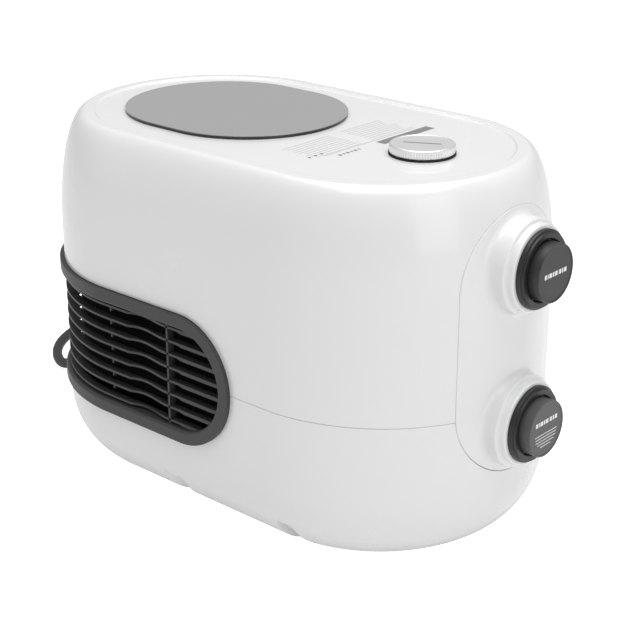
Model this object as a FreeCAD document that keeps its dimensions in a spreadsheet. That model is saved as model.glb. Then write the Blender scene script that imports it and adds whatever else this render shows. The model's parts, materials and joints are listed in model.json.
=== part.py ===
"""Compact swimming pool heat pump: a parametric document, in millimetres.

The origin is the middle of the footprint at floor level, cord left out.
+X points to the two water ports, -Y to the long side with the finger scoop
in its grille, and +Z is up.
"""
import math
import os
import re

import FreeCAD
import Part
import Sketcher
from FreeCAD import Vector

SIZES = (
    # casing
    ("plan_radius", 140, "radius of both round ends of the plan, half its width"),
    ("axis_span", 182, "distance between the axes of the two round ends"),
    ("shell_base", 2.5, "height of the underside, which the feet hold up"),
    ("shell_top", 317.5, "height of the top edge"),
    ("shoulder_in", 25, "how far the top shoulder leans in"),
    ("shoulder_down", 100, "how far down the top shoulder starts"),
    ("belly_in", 55, "how far the underside's round edge comes in"),
    ("belly_up", 60, "how high the underside's round edge reaches"),
    ("seam_height", 132.5, "parting line between the two shells"),
    ("seam_gap", 0.3, "width of the joint line between the shells"),
    ("seam_depth", 1, "depth of the joint line between the shells"),
    ("wall", 3, "wall of the shells"),
    ("deck_drop", 1.5, "depth of the step round the deck"),
    ("deck_inset", 34.5, "from the widest plan in to the step round the deck"),
    ("fit_gap", 0.4, "gap round a piece that is let into the shells"),
    # channels across the underside
    ("channel_width", 15, "channel across the underside, at its floor"),
    ("channel_slope", 6, "run of the channel's sloped side"),
    ("channel_depth", 4.5, "depth of the channels"),
    ("channel_reach", 34, "height where a channel runs out up the side"),
    ("left_channel_x", -34, "middle of the left channel"),
    ("right_channel_x", 91, "middle of the right channel"),
    # grille
    ("grille_height", 115, "outer height of the grille frame"),
    ("grille_right_x", 43.5, "right end of the grille frame"),
    ("frame_band", 11.5, "width of the frame's face"),
    ("frame_lip", 3, "how far the frame laps over the shells"),
    ("grille_proud", 4, "how far the frame stands out of the shells"),
    ("frame_depth", 8, "how far the frame reaches into the casing"),
    ("slat_pitch", 11.85, "spacing of the slats"),
    ("slat_count", 8, "number of slats"),
    ("slat_thick", 2, "thickness of slats and ribs"),
    ("slat_depth", 12, "depth of a slat, front to back"),
    ("rib_x", -30, "full rib that joins the slats"),
    ("back_rib_x", -101, "set-back rib"),
    ("back_rib_set", 3.5, "how far the set-back ribs stand behind the slats"),
    ("scoop_x", -76, "sharp end of the finger scoop"),
    ("scoop_run", 21, "from the scoop's sharp end to its deepest place"),
    ("scoop_depth", 5.5, "depth of the finger scoop"),
    # water ports
    ("port_high", 247.8, "height of the outlet's axis"),
    ("port_low", 119.4, "height of the inlet's axis"),
    ("panel_half_width", 60.5, "half width of the port panel"),
    ("panel_low", 77, "lower end of the port panel"),
    ("panel_high", 292.5, "upper end of the port panel"),
    ("boss_radius", 38, "wide boss round a port"),
    ("boss_reach", 8.2, "wide boss, out from the end of the casing"),
    ("step_radius", 34.6, "narrow boss round a port"),
    ("step_reach", 14.2, "narrow boss, out from the end of the casing"),
    ("boss_round", 2, "rounding of the bosses' edges"),
    ("collar_radius", 31.4, "black collar of a port"),
    ("collar_flange", 3.6, "thickness of the collar's full-size flange"),
    ("collar_lip_radius", 29.6, "collar's smaller front lip"),
    ("collar_lip", 2.4, "thickness of the collar's front lip"),
    ("plug_radius", 23.3, "head of a port's plug"),
    ("plug_reach", 29.2, "plug's face, out from the end of the casing"),
    ("plug_gap", 0.6, "radial gap between a plug's head and the collar"),
    ("plug_stem", 32, "length of the plug's stem"),
    ("bore_radius", 20, "bore of a port, for a 40 mm hose tail"),
    ("stem_gap", 0.4, "radial gap between a plug's stem and the bore"),
    ("seal_gap", 0.06, "radial gap between a plug's seal and the bore"),
    ("spigot_wall", 2.5, "wall of a port's spigot"),
    ("barb_radius", 9, "hose barb"),
    # filter under its screw cap
    ("cap_radius", 26, "screw cap over the filter"),
    ("cap_height", 6.9, "height of the screw cap"),
    ("cap_x", 119.2, "axis of the screw cap"),
    ("cap_pitch", 3, "thread pitch of the screw cap"),
    ("knurl_count", 72, "grooves round the screw cap"),
    ("knurl_depth", 0.5, "depth of those grooves"),
    ("gasket_thick", 1.8, "gasket under the screw cap"),
    ("neck_bore", 20.5, "bore of the filter well's neck"),
    ("well_radius", 30, "outside of the filter well"),
    ("well_wall", 2.5, "wall of the filter well"),
    ("well_bottom", 212, "underside of the filter well"),
    ("strainer_radius", 18.5, "outside of the strainer basket"),
    # control glass
    ("glass_x", -82.5, "middle of the control glass"),
    ("glass_length", 200, "length of the control glass"),
    ("glass_width", 168, "width of the control glass"),
    ("glass_thick", 2, "thickness of the control glass"),
    ("glass_stand", 3.3, "top of the glass above the deck"),
    ("carrier_inset", 1, "how far the carrier stands back under the glass"),
    # inside
    ("chassis_gap", 1.4, "gap between the channels' inner side and the chassis plate"),
    ("chassis_thick", 1.5, "thickness of the chassis plate"),
    ("chassis_radius", 95, "radius of the chassis plate's ends"),
    ("screw_radius", 2, "shank of the casing's screws"),
    ("foot_radius", 10, "rubber foot"),
    ("coil_left", -160, "left end of the fin block"),
    ("coil_length", 150, "length of the fin block"),
    ("coil_front", -108, "front of the fin block"),
    ("coil_depth", 22, "depth of the fin block"),
    ("coil_low", 70, "underside of the fin block"),
    ("coil_rows", 10, "tubes of the coil, an even number"),
    ("coil_tube", 4, "radius of the coil's tubes"),
    ("fan_x", -82.5, "axis of the fan"),
    ("fan_radius", 58, "tip of the fan's blades"),
    ("fan_tip_gap", 3, "gap between the blades and the shroud"),
    ("fan_y", 40, "front of the fan's shroud"),
    ("hub_radius", 18, "hub of the fan"),
    ("blade_count", 5, "blades of the fan"),
    ("shaft_radius", 3, "shafts of the fan and pump motors"),
    ("shaft_gap", 0.05, "radial gap round a shaft"),
    ("motor_radius", 26, "fan motor"),
    ("motor_length", 28, "length of the fan motor"),
    ("compressor_x", 33, "axis of the compressor"),
    ("compressor_y", -15, "axis of the compressor"),
    ("compressor_radius", 50, "compressor"),
    ("compressor_top", 200, "top of the compressor"),
    ("exchanger_x", 66, "axis of the water heat exchanger"),
    ("exchanger_y", 76, "axis of the water heat exchanger"),
    ("exchanger_radius", 36, "water heat exchanger"),
    ("exchanger_low", 40, "underside of the water heat exchanger"),
    ("exchanger_top", 200, "top of the water heat exchanger"),
    ("pump_x", 128, "axis of the circulation pump"),
    ("pump_radius", 30, "pump housing"),
    ("pump_z", 60, "underside of the pump housing"),
    ("pump_height", 27, "height of the pump housing"),
    ("pump_wall", 3, "wall of the pump housing"),
    ("box_left", -158, "left side of the electronics box"),
    ("box_length", 146, "length of the electronics box"),
    ("box_width", 140, "width of the electronics box"),
    ("box_low", 230, "underside of the electronics box"),
    ("box_height", 66, "height of the electronics box"),
    ("box_wall", 2, "wall of the electronics box"),
    # mains cord
    ("cord_radius", 5, "mains cord"),
    ("gland_z", 32, "height of the cord's gland"),
    ("gland_length", 30, "tapered part of the gland"),
    ("coil_radius", 55, "mean radius of the put-away coil of cord"),
    ("coil_centre_x", -140, "middle of the put-away coil"),
    ("coil_centre_y", 231, "middle of the put-away coil"),
)

LAYOUT = (
    ("middle_x", "(grille_proud - plug_reach) / 2", "middle of the casing's length"),
    ("left_x", "middle_x - axis_span / 2", "axis of the left end"),
    ("right_x", "middle_x + axis_span / 2", "axis of the right end"),
    ("end_x", "right_x + plan_radius", "right end of the casing"),
    ("deck_z", "shell_top - deck_drop", "height of the deck"),
    ("ceiling_z", "deck_z - wall", "underside of the deck"),
    ("step_x", "end_x + step_reach", "face that a collar sits on"),
    ("collar_x", "step_x + collar_flange + collar_lip", "front of a collar"),
    ("plug_x", "end_x + plug_reach", "face of a plug"),
    ("spigot_radius", "bore_radius + spigot_wall", "outside of a spigot"),
    ("spigot_back", "step_x - plug_stem - 30", "closed end of a spigot"),
    ("cap_z", "deck_z + gasket_thick", "underside of the screw cap"),
    ("chassis_z", "shell_base + wall + channel_depth + chassis_gap",
     "underside of the chassis plate"),
    ("chassis_top", "chassis_z + chassis_thick", "top of the chassis plate"),
    ("coil_right", "coil_left + coil_length", "right end of the fin block"),
    ("coil_mid_y", "coil_front + coil_depth / 2", "plane of the coil's tubes"),
    ("coil_pitch", "coil_tube * 3.1", "spacing of the coil's tubes"),
    ("coil_height", "coil_pitch * coil_rows", "height of the fin block"),
    ("flat_half", "plan_radius - belly_in", "half width of the flat underside"),
    ("gland_x", "left_x - plan_radius + wall", "inner end of the gland"),
    ("slat_low", "seam_height - slat_pitch * (slat_count - 1) / 2", "lowest slat"),
)

doc = FreeCAD.newDocument("PoolHeatPump")
sheet = doc.addObject("Spreadsheet::Sheet", "Sizes")
for row, (alias, value, note) in enumerate(SIZES, 1):
    sheet.set(f"A{row}", alias)
    sheet.set(f"B{row}", str(value))
    sheet.set(f"C{row}", note)
    sheet.setAlias(f"B{row}", alias)
doc.recompute()

layout = doc.addObject("App::VarSet", "Layout")
WORDS = {alias: "Sizes" for alias, _, _ in SIZES}
WORDS.update({alias: "Layout" for alias, _, _ in LAYOUT})


def linked(text):
    """The expression with each size's name written as its owner's property."""
    def owner(found):
        word = found.group(0)
        return f"{WORDS[word]}.{word}" if word in WORDS else word
    return re.sub(r"[a-z_]+", owner, str(text))


for alias, text, note in LAYOUT:
    layout.addProperty("App::PropertyFloat", alias, "Layout", note)
    layout.setExpression(alias, linked(text))
    doc.recompute()


def size(alias):
    """A size's present value."""
    if WORDS[alias] == "Layout":
        return float(layout.getPropertyByName(alias))
    return float(sheet.get(alias))


PARTS = []


def part(node, thing):
    """Names a finished sub-part, so that it is written to its own file."""
    thing.Label = node
    PARTS.append(thing)
    return thing


TURNS = {"Z": (0, 0, 0), "X": (0, 90, 0), "Y": (0, 0, -90)}
# yaw, pitch and roll that turn the local Z axis to the named one


def place(thing, at, axis="Z"):
    """Ties a thing's place to the sheet, with its own Z along the axis."""
    yaw, pitch, roll = TURNS[axis]
    thing.Placement.Rotation = FreeCAD.Rotation(yaw, pitch, roll)
    for letter, text in zip("xyz", at):
        thing.setExpression(f"Placement.Base.{letter}", linked(text))
    return thing


def made(kind, at, axis="Z", **lengths):
    """A Part primitive whose sizes and place are bound to the sheet."""
    thing = doc.addObject(f"Part::{kind}", kind.lower())
    for name, text in lengths.items():
        thing.setExpression(name, linked(text))
    return place(thing, at, axis)


def box(low, lengths):
    return made("Box", low, Length=lengths[0], Width=lengths[1], Height=lengths[2])


def rod(at, radius, length, axis="Z"):
    return made("Cylinder", at, axis, Radius=radius, Height=length)


def cut(base, *tools):
    """The base with each of the tools taken out of it."""
    thing = doc.addObject("Part::Cut", "cut")
    thing.Base = base
    thing.Tool = tools[0] if len(tools) == 1 else fuse(*tools)
    return thing


def fuse(*things):
    thing = doc.addObject("Part::MultiFuse", "fuse")
    thing.Shapes = list(things)
    thing.Refine = True
    return thing


def common(*things):
    thing = doc.addObject("Part::MultiCommon", "common")
    thing.Shapes = list(things)
    return thing


def group(*things):
    """Separate solids that are one node."""
    thing = doc.addObject("Part::Compound", "group")
    thing.Links = list(things)
    return thing


def shaped(name, shape):
    """A piece whose form needs Part's own functions."""
    thing = doc.addObject("Part::Feature", name)
    thing.Shape = shape
    return thing


def turned(name, profile, at, axis="Z"):
    """A lathe-turned body: a sketch of (radius, height) corners, revolved.

    The axis is the sketch's vertical one, and a corner at radius 0 lies on it.
    """
    body = doc.addObject("PartDesign::Body", name)
    sketch = body.newObject("Sketcher::SketchObject", f"{name}_outline")
    planes = {p.Role: p for p in body.Origin.OriginFeatures}
    sketch.AttachmentSupport = [(planes["XZ_Plane"], "")]
    sketch.MapMode = "FlatFace"
    corners = [Vector(number(r), number(z), 0) for r, z in profile]
    for i, start in enumerate(corners):
        sketch.addGeometry(Part.LineSegment(start, corners[(i + 1) % len(corners)]), False)
    for i in range(len(corners)):
        follower = (i + 1) % len(corners)
        link_ends(sketch, i, follower)
    for i, (r, z) in enumerate(profile):
        tie(sketch, "DistanceX", i, r, -2)
        tie(sketch, "DistanceY", i, z, -1)
    turn = body.newObject("PartDesign::Revolution", f"{name}_turn")
    turn.Profile = sketch
    turn.ReferenceAxis = (sketch, ["V_Axis"])
    turn.Angle = 360
    body.Tip = turn
    place(body, at, axis)
    return body


def link_ends(sketch, first, second):
    """The end of one line is the start of the next."""
    sketch.addConstraint(Sketcher.Constraint("Coincident", first, 2, second, 1))


def tie(sketch, kind, line, text, own_axis):
    """Holds a corner at a distance that the sheet gives, or on an axis for 0."""
    if str(text) == "0":
        sketch.addConstraint(Sketcher.Constraint("PointOnObject", line, 1, own_axis))
        return
    value = number(text)
    index = sketch.addConstraint(Sketcher.Constraint(kind, -1, 1, line, 1, value))
    if re.search(r"[a-z]", str(text)):
        sketch.setExpression(f"Constraints[{index}]", linked(text))


def number(text):
    """The value that an expression has now."""
    probe = doc.getObject("Probe") or doc.addObject("App::VarSet", "Probe")
    if not hasattr(probe, "value"):
        probe.addProperty("App::PropertyFloat", "value")
    probe.setExpression("value", linked(text))
    probe.recompute()
    return float(probe.value)


# Casing

def quarter(centre, along, up, a, b):
    """A quarter of an ellipse from centre + a*along to centre + b*up."""
    ends = (centre + along * a, centre + up * b)
    major, minor = ends if a >= b else (ends[1], ends[0])
    return Part.ArcOfEllipse(Part.Ellipse(major, minor, centre), 0, math.pi / 2).toShape()


def half_section(axis_x, out, inset):
    """Half of the casing's section, from the end axis outwards, moved in by inset."""
    up = Vector(0, 0, 1)
    base, top = size("shell_base") + inset, size("shell_top") - inset
    wall_at = size("plan_radius") - inset
    belly = (size("belly_in") - inset, size("belly_up") - inset)
    shoulder = (size("shoulder_in") - inset, size("shoulder_down") - inset)

    def at(r, z):
        return Vector(axis_x, 0, z) + out * r

    low = at(wall_at - belly[0], base + belly[1])
    high = at(wall_at - shoulder[0], top - shoulder[1])
    corners = (at(0, base), low - up * belly[1], low + out * belly[0],
               high + out * shoulder[0], high + up * shoulder[1], at(0, top))
    edges = [Part.makeLine(corners[0], corners[1]),
             quarter(low, out, up * -1, *belly),
             Part.makeLine(corners[2], corners[3]),
             quarter(high, out, up, *shoulder),
             Part.makeLine(corners[4], corners[5]),
             Part.makeLine(corners[5], corners[0])]
    return Part.Face(Part.Wire(edges))


def envelope(name, inset):
    """The closed form of the casing, moved in by inset, or out if it is negative."""
    up, left, right = Vector(0, 0, 1), size("left_x"), size("right_x")
    front, back = Vector(0, -1, 0), Vector(0, 1, 0)
    ends = [half_section(right, front, inset).revolve(Vector(right, 0, 0), up, 180),
            half_section(left, back, inset).revolve(Vector(left, 0, 0), up, 180)]
    sides = [half_section(left, out, inset).extrude(Vector(right - left, 0, 0))
             for out in (front, back)]
    return shaped(name, ends[0].fuse([ends[1]] + sides).removeSplitter())


FAR = "4 * plan_radius"  # reaches past the whole casing


def slab(low, high):
    """All space between two heights."""
    return box((f"-{FAR}", f"-{FAR}", low), (f"2 * {FAR}", f"2 * {FAR}", f"{high} - ({low})"))


def stadium(middle_x, length, width, low, high):
    """A flat body with round ends, lying along X."""
    run = f"({length}) - ({width})"
    return fuse(
        box((f"{middle_x} - ({run}) / 2", f"-({width}) / 2", low),
            (run, width, f"{high} - ({low})")),
        rod((f"{middle_x} - ({run}) / 2", "0", low), f"({width}) / 2", f"{high} - ({low})"),
        rod((f"{middle_x} + ({run}) / 2", "0", low), f"({width}) / 2", f"{high} - ({low})"))


def grille_outline(inset):
    """The grille's outline carried through the casing from front to back."""
    radius = f"(grille_height / 2 - ({inset}))"
    centre = "(grille_right_x - grille_height / 2)"
    return fuse(
        box((f"-{FAR}", f"-{FAR}", f"seam_height - {radius}"),
            (f"{centre} + {FAR}", f"2 * {FAR}", f"2 * {radius}")),
        rod((centre, f"-{FAR}", "seam_height"), radius, f"2 * {FAR}", "Y"))


def panel_outline(gap):
    """The port panel's upright outline, carried out through the right end."""
    radius = f"(panel_half_width + {gap})"
    low, high = f"(panel_low - {gap} + {radius})", f"(panel_high + {gap} - {radius})"
    return fuse(
        box(("right_x", f"-{radius}", low), (FAR, f"2 * {radius}", f"{high} - {low}")),
        rod(("right_x", "0", low), radius, FAR, "X"),
        rod(("right_x", "0", high), radius, FAR, "X"))


def channel(name, middle_x, widen, deep):
    """A channel across the underside: a tapered bar, kept to a layer of the casing."""
    half = size("channel_width") / 2 + widen
    low, high = 0, size("channel_reach") + widen
    slope = size("channel_slope")
    far = 2 * size("plan_radius")
    corners = [Vector(x, -far, z) for x, z in (
        (middle_x - half, low), (middle_x + half + slope, low),
        (middle_x + half, high), (middle_x - half, high))]
    bar = Part.Face(Part.makePolygon(corners + corners[:1])).extrude(Vector(0, 2 * far, 0))
    return cut(shaped(name, bar), deep)


def casing():
    outer = envelope("outside", 0)
    inner = common(envelope("inside", size("wall")), slab("0", "ceiling_z"))
    channel_floor = envelope("channel_floor", size("channel_depth"))
    channel_back = envelope("channel_back", size("channel_depth") + size("wall"))
    skin = cut(outer, inner, grille_outline("frame_lip - fit_gap"), panel_outline("fit_gap"))
    deck = stadium("middle_x", "axis_span + 2 * (plan_radius - deck_inset)",
                   "2 * (plan_radius - deck_inset)", "deck_z", "shell_top + 1")
    joint = cut(slab("seam_height - seam_gap", "seam_height"), envelope("joint", size("seam_depth")))
    part("upper_shell", cut(
        common(skin, slab("seam_height", "shell_top + 1")), deck,
        stadium("glass_x", "glass_length - 2 * carrier_inset - 12",
                "glass_width - 2 * carrier_inset - 12", "ceiling_z - 1", "shell_top"),
        rod(("cap_x", "0", "ceiling_z - 1"), "neck_bore + well_wall + 0.3", "10")))
    channels, backs = [], []
    for side in ("left", "right"):
        x = size(f"{side}_channel_x")
        channels.append(channel(f"{side}_channel", x, 0, channel_floor))
        backs.append(common(inner_band(channel(f"{side}_back", x, size("wall"), channel_back)),
                            envelope(f"{side}_limit", size("wall"))))
    posts = [rod((x, y, "shell_base + wall"), "2.5 * screw_radius + 2", "chassis_z - shell_base - wall")
             for x, y in SCREWS]
    holes = [screw_hole(x, y) for x, y in SCREWS]
    gland_hole = rod(("gland_x - 20", "0", "gland_z"), "cord_radius + 3.2", "50", "X")
    base = fuse(common(skin, slab("0", "seam_height")), *backs, *posts)
    part("lower_shell", cut(base, joint, *channels, *holes, gland_hole))
    return outer, inner


def inner_band(thing):
    """The thing above the casing's underside only, so that it stays inside."""
    return common(thing, slab("shell_base", "channel_reach + wall"))


SCREWS = [(x, y) for x in ("left_x - 20", "right_x + 20") for y in ("-60", "60")]
FEET = [(x, y) for x in ("left_x", "right_x - 22") for y in
        ("flat_half - foot_radius - 3", "-(flat_half - foot_radius - 3)")]


def screw_hole(x, y):
    return fuse(rod((x, y, "0"), "2.5 * screw_radius", "shell_base + 2"),
                rod((x, y, "0"), "screw_radius + 0.2", "chassis_top + 1"))


def base_pieces():
    part("rubber_feet", group(*[
        turned("foot", (("0", "0"), ("foot_radius - 1", "0"), ("foot_radius", "1"),
                        ("foot_radius", "shell_base"), ("0", "shell_base")), (x, y, "0"))
        for x, y in FEET]))
    part("base_screws", group(*[
        turned("screw", (("0", "0"), ("2 * screw_radius", "0"), ("2 * screw_radius", "1.6"),
                         ("screw_radius", "1.6"), ("screw_radius", "14"), ("0", "14")),
               (x, y, "shell_base + 0.4"))
        for x, y in SCREWS]))
    plate = stadium("middle_x", "axis_span + 2 * chassis_radius", "2 * chassis_radius",
                    "chassis_z", "chassis_top")
    part("chassis_plate", cut(plate, *[rod((x, y, "0"), "screw_radius + 0.2", "30")
                                       for x, y in SCREWS]))


# Grille

def grille(outer, inner_face):
    layer = cut(envelope("frame_front", -size("grille_proud")), outer)
    lip = cut(common(layer, grille_outline("0")), grille_outline("frame_band"))
    body = cut(common(cut(outer, envelope("frame_back", size("frame_depth"))),
                      grille_outline("frame_lip")), grille_outline("frame_band"))
    part("grille_frame", fuse(lip, body))
    slats = [slab(f"slat_low + slat_pitch * {i} - slat_thick / 2",
                  f"slat_low + slat_pitch * {i} + slat_thick / 2")
             for i in range(int(size("slat_count")))]
    band = cut(outer, envelope("slat_back", size("slat_depth")))
    deep = cut(envelope("rib_front", size("back_rib_set")), envelope("rib_back", size("slat_depth")))
    rib = box(("rib_x", f"-{FAR}", "0"), ("slat_thick", f"2 * {FAR}", "shell_top"))
    back_rib = box(("back_rib_x", f"-{FAR}", "0"), ("slat_thick", f"2 * {FAR}", "shell_top"))
    end_rib = box((f"left_x - {FAR}", "-slat_thick / 2", "0"), (FAR, "slat_thick", "shell_top"))
    lattice = fuse(common(fuse(*slats, rib), band), common(fuse(back_rib, end_rib), deep))
    inside = grille_outline("frame_band")
    part("grille_louvres", cut(common(lattice, inside), *scoops()))


def scoops():
    """The finger scoop in the slats, and its mirror image at the back."""
    face, x, run = size("plan_radius"), size("scoop_x"), size("scoop_run")
    deep = size("scoop_depth")
    far_x = size("rib_x") - 1
    things = []
    for side in (-1, 1):
        def at(px, inward, out_by=0):
            return Vector(px, side * (face - inward + out_by), 0)
        edges = [Part.Arc(at(x, 0), at(x + 0.45 * run, 0.72 * deep), at(x + run, deep)).toShape(),
                 Part.makeLine(at(x + run, deep), at(x + run + 4, deep * 0.98)),
                 Part.makeLine(at(x + run + 4, deep * 0.98), at(far_x, 0)),
                 Part.makeLine(at(far_x, 0), at(far_x, 0, 20)),
                 Part.makeLine(at(far_x, 0, 20), at(x, 0, 20)),
                 Part.makeLine(at(x, 0, 20), at(x, 0))]
        things.append(shaped("scoop", Part.Face(Part.Wire(edges)).extrude(
            Vector(0, 0, size("shell_top")))))
    return things


# Water ports

def port_panel(outer, inner):
    things, holes = [common(cut(outer, inner), panel_outline("0"))], []
    for height in ("port_high", "port_low"):
        stack = turned("boss", (
            ("0", "0"), ("boss_radius", "0"),
            ("boss_radius", "end_x + boss_reach - boss_round - right_x"),
            ("boss_radius - boss_round", "end_x + boss_reach - right_x"),
            ("step_radius", "end_x + boss_reach - right_x"),
            ("step_radius", "step_x - boss_round / 2 - right_x"),
            ("step_radius - boss_round / 2", "step_x - right_x"),
            ("0", "step_x - right_x")), ("right_x", "0", height), "X")
        hollow = rod(("right_x", "0", height), "boss_radius - wall", "end_x - right_x - wall", "X")
        things.append(cut(stack, inner, hollow))
        holes.append(rod(("right_x", "0", height), "spigot_radius", "plan_radius * 2", "X"))
    part("port_panel", cut(fuse(*things), *holes))


def port(name, height):
    """The spigot, collar, plug and seal of one water port."""
    at = ("step_x", "0", height)
    part(f"{name}_spigot", turned("spigot", (
        ("bore_radius", "0"), ("spigot_radius", "0"),
        ("spigot_radius", "spigot_back - step_x"),
        ("barb_radius", "spigot_back - step_x"),
        ("barb_radius", "spigot_back - step_x - 14"),
        ("barb_radius - 2", "spigot_back - step_x - 16"),
        ("barb_radius - 3", "spigot_back - step_x - 16"),
        ("barb_radius - 3", "spigot_back - step_x + spigot_wall"),
        ("bore_radius", "spigot_back - step_x + spigot_wall")), at, "X"))
    part(f"{name}_collar", turned("collar", (
        ("plug_radius + plug_gap", "0"), ("collar_radius", "0"),
        ("collar_radius", "collar_flange"), ("collar_lip_radius", "collar_flange"),
        ("collar_lip_radius", "collar_flange + collar_lip - 0.8"),
        ("collar_lip_radius - 0.8", "collar_flange + collar_lip"),
        ("plug_radius + plug_gap", "collar_flange + collar_lip")), at, "X"))
    head = "plug_x - step_x"
    part(f"{name}_plug", turned("plug", (
        ("0", "-plug_stem"), ("bore_radius - stem_gap - 1", "-plug_stem"),
        ("bore_radius - stem_gap", "-plug_stem + 1"), ("bore_radius - stem_gap", "-17"),
        ("bore_radius - 2", "-17"), ("bore_radius - 2", "-14"),
        ("bore_radius - stem_gap", "-14"), ("bore_radius - stem_gap", "0.5"),
        ("plug_radius", "0.5"), ("plug_radius", f"{head} - 1"),
        ("plug_radius - 1", head), ("0", head)), at, "X"))
    part(f"{name}_seal", turned("seal", (
        ("bore_radius - 2", "-16.7"), ("bore_radius - seal_gap", "-16.7"),
        ("bore_radius - seal_gap", "-14.3"), ("bore_radius - 2", "-14.3")), at, "X"))


# Screw cap and the filter under it

def filter_set():
    top = ("cap_x", "0", "cap_z")
    body = turned("cap", (
        ("0", "-14"), ("neck_bore - 0.5", "-14"), ("neck_bore - 0.5", "0"),
        ("cap_radius", "0"), ("cap_radius", "cap_height - 0.8"),
        ("cap_radius - 0.8", "cap_height"), ("0", "cap_height")), top)
    knurl(body)
    part("filter_cap", body)
    part("cap_gasket", turned("gasket", (
        ("neck_bore", "-gasket_thick"), ("cap_radius + 0.6", "-gasket_thick"),
        ("cap_radius + 0.6", "0"), ("neck_bore", "0")), top))
    neck, deep = "neck_bore + well_wall", "well_bottom - cap_z"
    bore = "well_radius - well_wall"
    well = turned("well", (
        ("0", deep), ("well_radius", deep), ("well_radius", "ceiling_z - cap_z - 3"),
        ("well_radius + 4", "ceiling_z - cap_z - 3"), ("well_radius + 4", "ceiling_z - cap_z"),
        (neck, "ceiling_z - cap_z"), (neck, "-gasket_thick"),
        ("neck_bore", "-gasket_thick"), ("neck_bore", "-17"), (bore, "-20"),
        (bore, f"{deep} + well_wall"), ("0", f"{deep} + well_wall")), top)
    part("filter_well", well)
    low = f"{deep} + well_wall + 8"
    basket = turned("basket", (
        ("0", low), ("strainer_radius", low), ("strainer_radius", "-17.5"),
        ("strainer_radius + 1", "-17.5"), ("strainer_radius + 1", "-14.5"),
        ("strainer_radius - 2", "-14.5"), ("strainer_radius - 2", f"{low} + 2"),
        ("0", f"{low} + 2")), top)
    windows = []
    for row in range(5):
        for turn in (0, 60, 120):
            bar = made("Box", ("cap_x", "0", f"cap_z + {low} + {8 + 12 * row}"),
                       Length="4 * strainer_radius", Width="9", Height="8")
            bar.Placement.Rotation = FreeCAD.Rotation(turn, 0, 0)
            half = FreeCAD.Rotation(turn, 0, 0).multVec(Vector(1, 0, 0))
            side = FreeCAD.Rotation(turn, 0, 0).multVec(Vector(0, 1, 0))
            for letter, a, b, base in (("x", half.x, side.x, "cap_x"), ("y", half.y, side.y, "0")):
                bar.setExpression(f"Placement.Base.{letter}", linked(
                    f"{base} - {a:.6f} * 2 * strainer_radius - {b:.6f} * 4.5"))
            windows.append(bar)
    part("strainer", cut(basket, *windows))


def knurl(body):
    """Fine upright grooves round the screw cap."""
    sketch = body.newObject("Sketcher::SketchObject", "groove_outline")
    planes = {p.Role: p for p in body.Origin.OriginFeatures}
    sketch.AttachmentSupport = [(planes["XY_Plane"], "")]
    sketch.MapMode = "FlatFace"
    radius, deep = size("cap_radius"), size("knurl_depth")
    sketch.addGeometry(Part.Circle(Vector(radius + 0.2, 0, 0), Vector(0, 0, 1), deep + 0.2), False)
    row = sketch.addConstraint(Sketcher.Constraint("Radius", 0, deep + 0.2))
    sketch.setExpression(f"Constraints[{row}]", linked("knurl_depth + 0.2"))
    sketch.addConstraint(Sketcher.Constraint("PointOnObject", 0, 3, -1))
    row = sketch.addConstraint(Sketcher.Constraint("DistanceX", -1, 1, 0, 3, radius + 0.2))
    sketch.setExpression(f"Constraints[{row}]", linked("cap_radius + 0.2"))
    pocket = body.newObject("PartDesign::Pocket", "groove")
    pocket.Profile = sketch
    pocket.Type = "Length"
    pocket.Reversed = True
    pocket.setExpression("Length", linked("cap_height - 1.2"))
    doc.recompute()
    ring = body.newObject("PartDesign::PolarPattern", "grooves")
    ring.Originals = [pocket]
    ring.Axis = (sketch, ["N_Axis"])
    ring.Angle = 360
    ring.Occurrences = int(size("knurl_count"))
    body.Tip = ring


# Control glass

def controls():
    under = "deck_z + glass_stand - glass_thick"
    part("control_glass", stadium("glass_x", "glass_length", "glass_width",
                                  under, "deck_z + glass_stand"))
    length, width = "glass_length - 2 * carrier_inset", "glass_width - 2 * carrier_inset"
    rim = stadium("glass_x", length, width, "deck_z", under)
    tray = stadium("glass_x", f"{length} - 12 - fit_gap", f"{width} - 12 - fit_gap",
                   "ceiling_z - 3", "deck_z")
    hollow = stadium("glass_x", f"{length} - 18", f"{width} - 18", "ceiling_z - 4", f"{under} - 1")
    part("control_carrier", cut(fuse(rim, tray), hollow))
    part("display_board", box(("glass_x - 55", "-35", "ceiling_z - 4.6"), ("110", "70", "1.6")))


# Fan and coil

def coil():
    block = box(("coil_left", "coil_front", "coil_low"), ("coil_length", "coil_depth", "coil_height"))
    rows = int(size("coil_rows"))
    heights = [f"coil_low + coil_pitch * {i + 0.5}" for i in range(rows)]
    bores = [rod(("coil_left - 20", "coil_mid_y", z), "coil_tube + 0.05", "coil_length + 40", "X")
             for z in heights]
    part("coil_fins", cut(block, *bores))
    tubes = [rod(("coil_left - 6", "coil_mid_y", z), "coil_tube", "coil_length + 12", "X")
             for z in heights]
    bends = []
    for i in range(rows - 1):
        right = i % 2 == 1
        bend = made("Torus", ("coil_right + 6" if right else "coil_left - 6", "coil_mid_y",
                              f"coil_low + coil_pitch * {i + 1}"), "Y",
                    Radius1="coil_pitch / 2", Radius2="coil_tube")
        keep = box(("coil_right + 6", "coil_front", "0") if right else
                   ("coil_left - 46", "coil_front", "0"), ("40", "coil_depth", "shell_top"))
        bends.append(common(bend, keep))
    part("coil_tubes", fuse(*tubes, *bends))
    plates = [cut(box((x, "coil_front - 1", "coil_low - 1"),
                      ("1.2", "coil_depth + 2", "coil_height + 2")), *bores)
              for x in ("coil_left - 1.2", "coil_right")]
    part("coil_end_plates", group(*plates))


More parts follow.
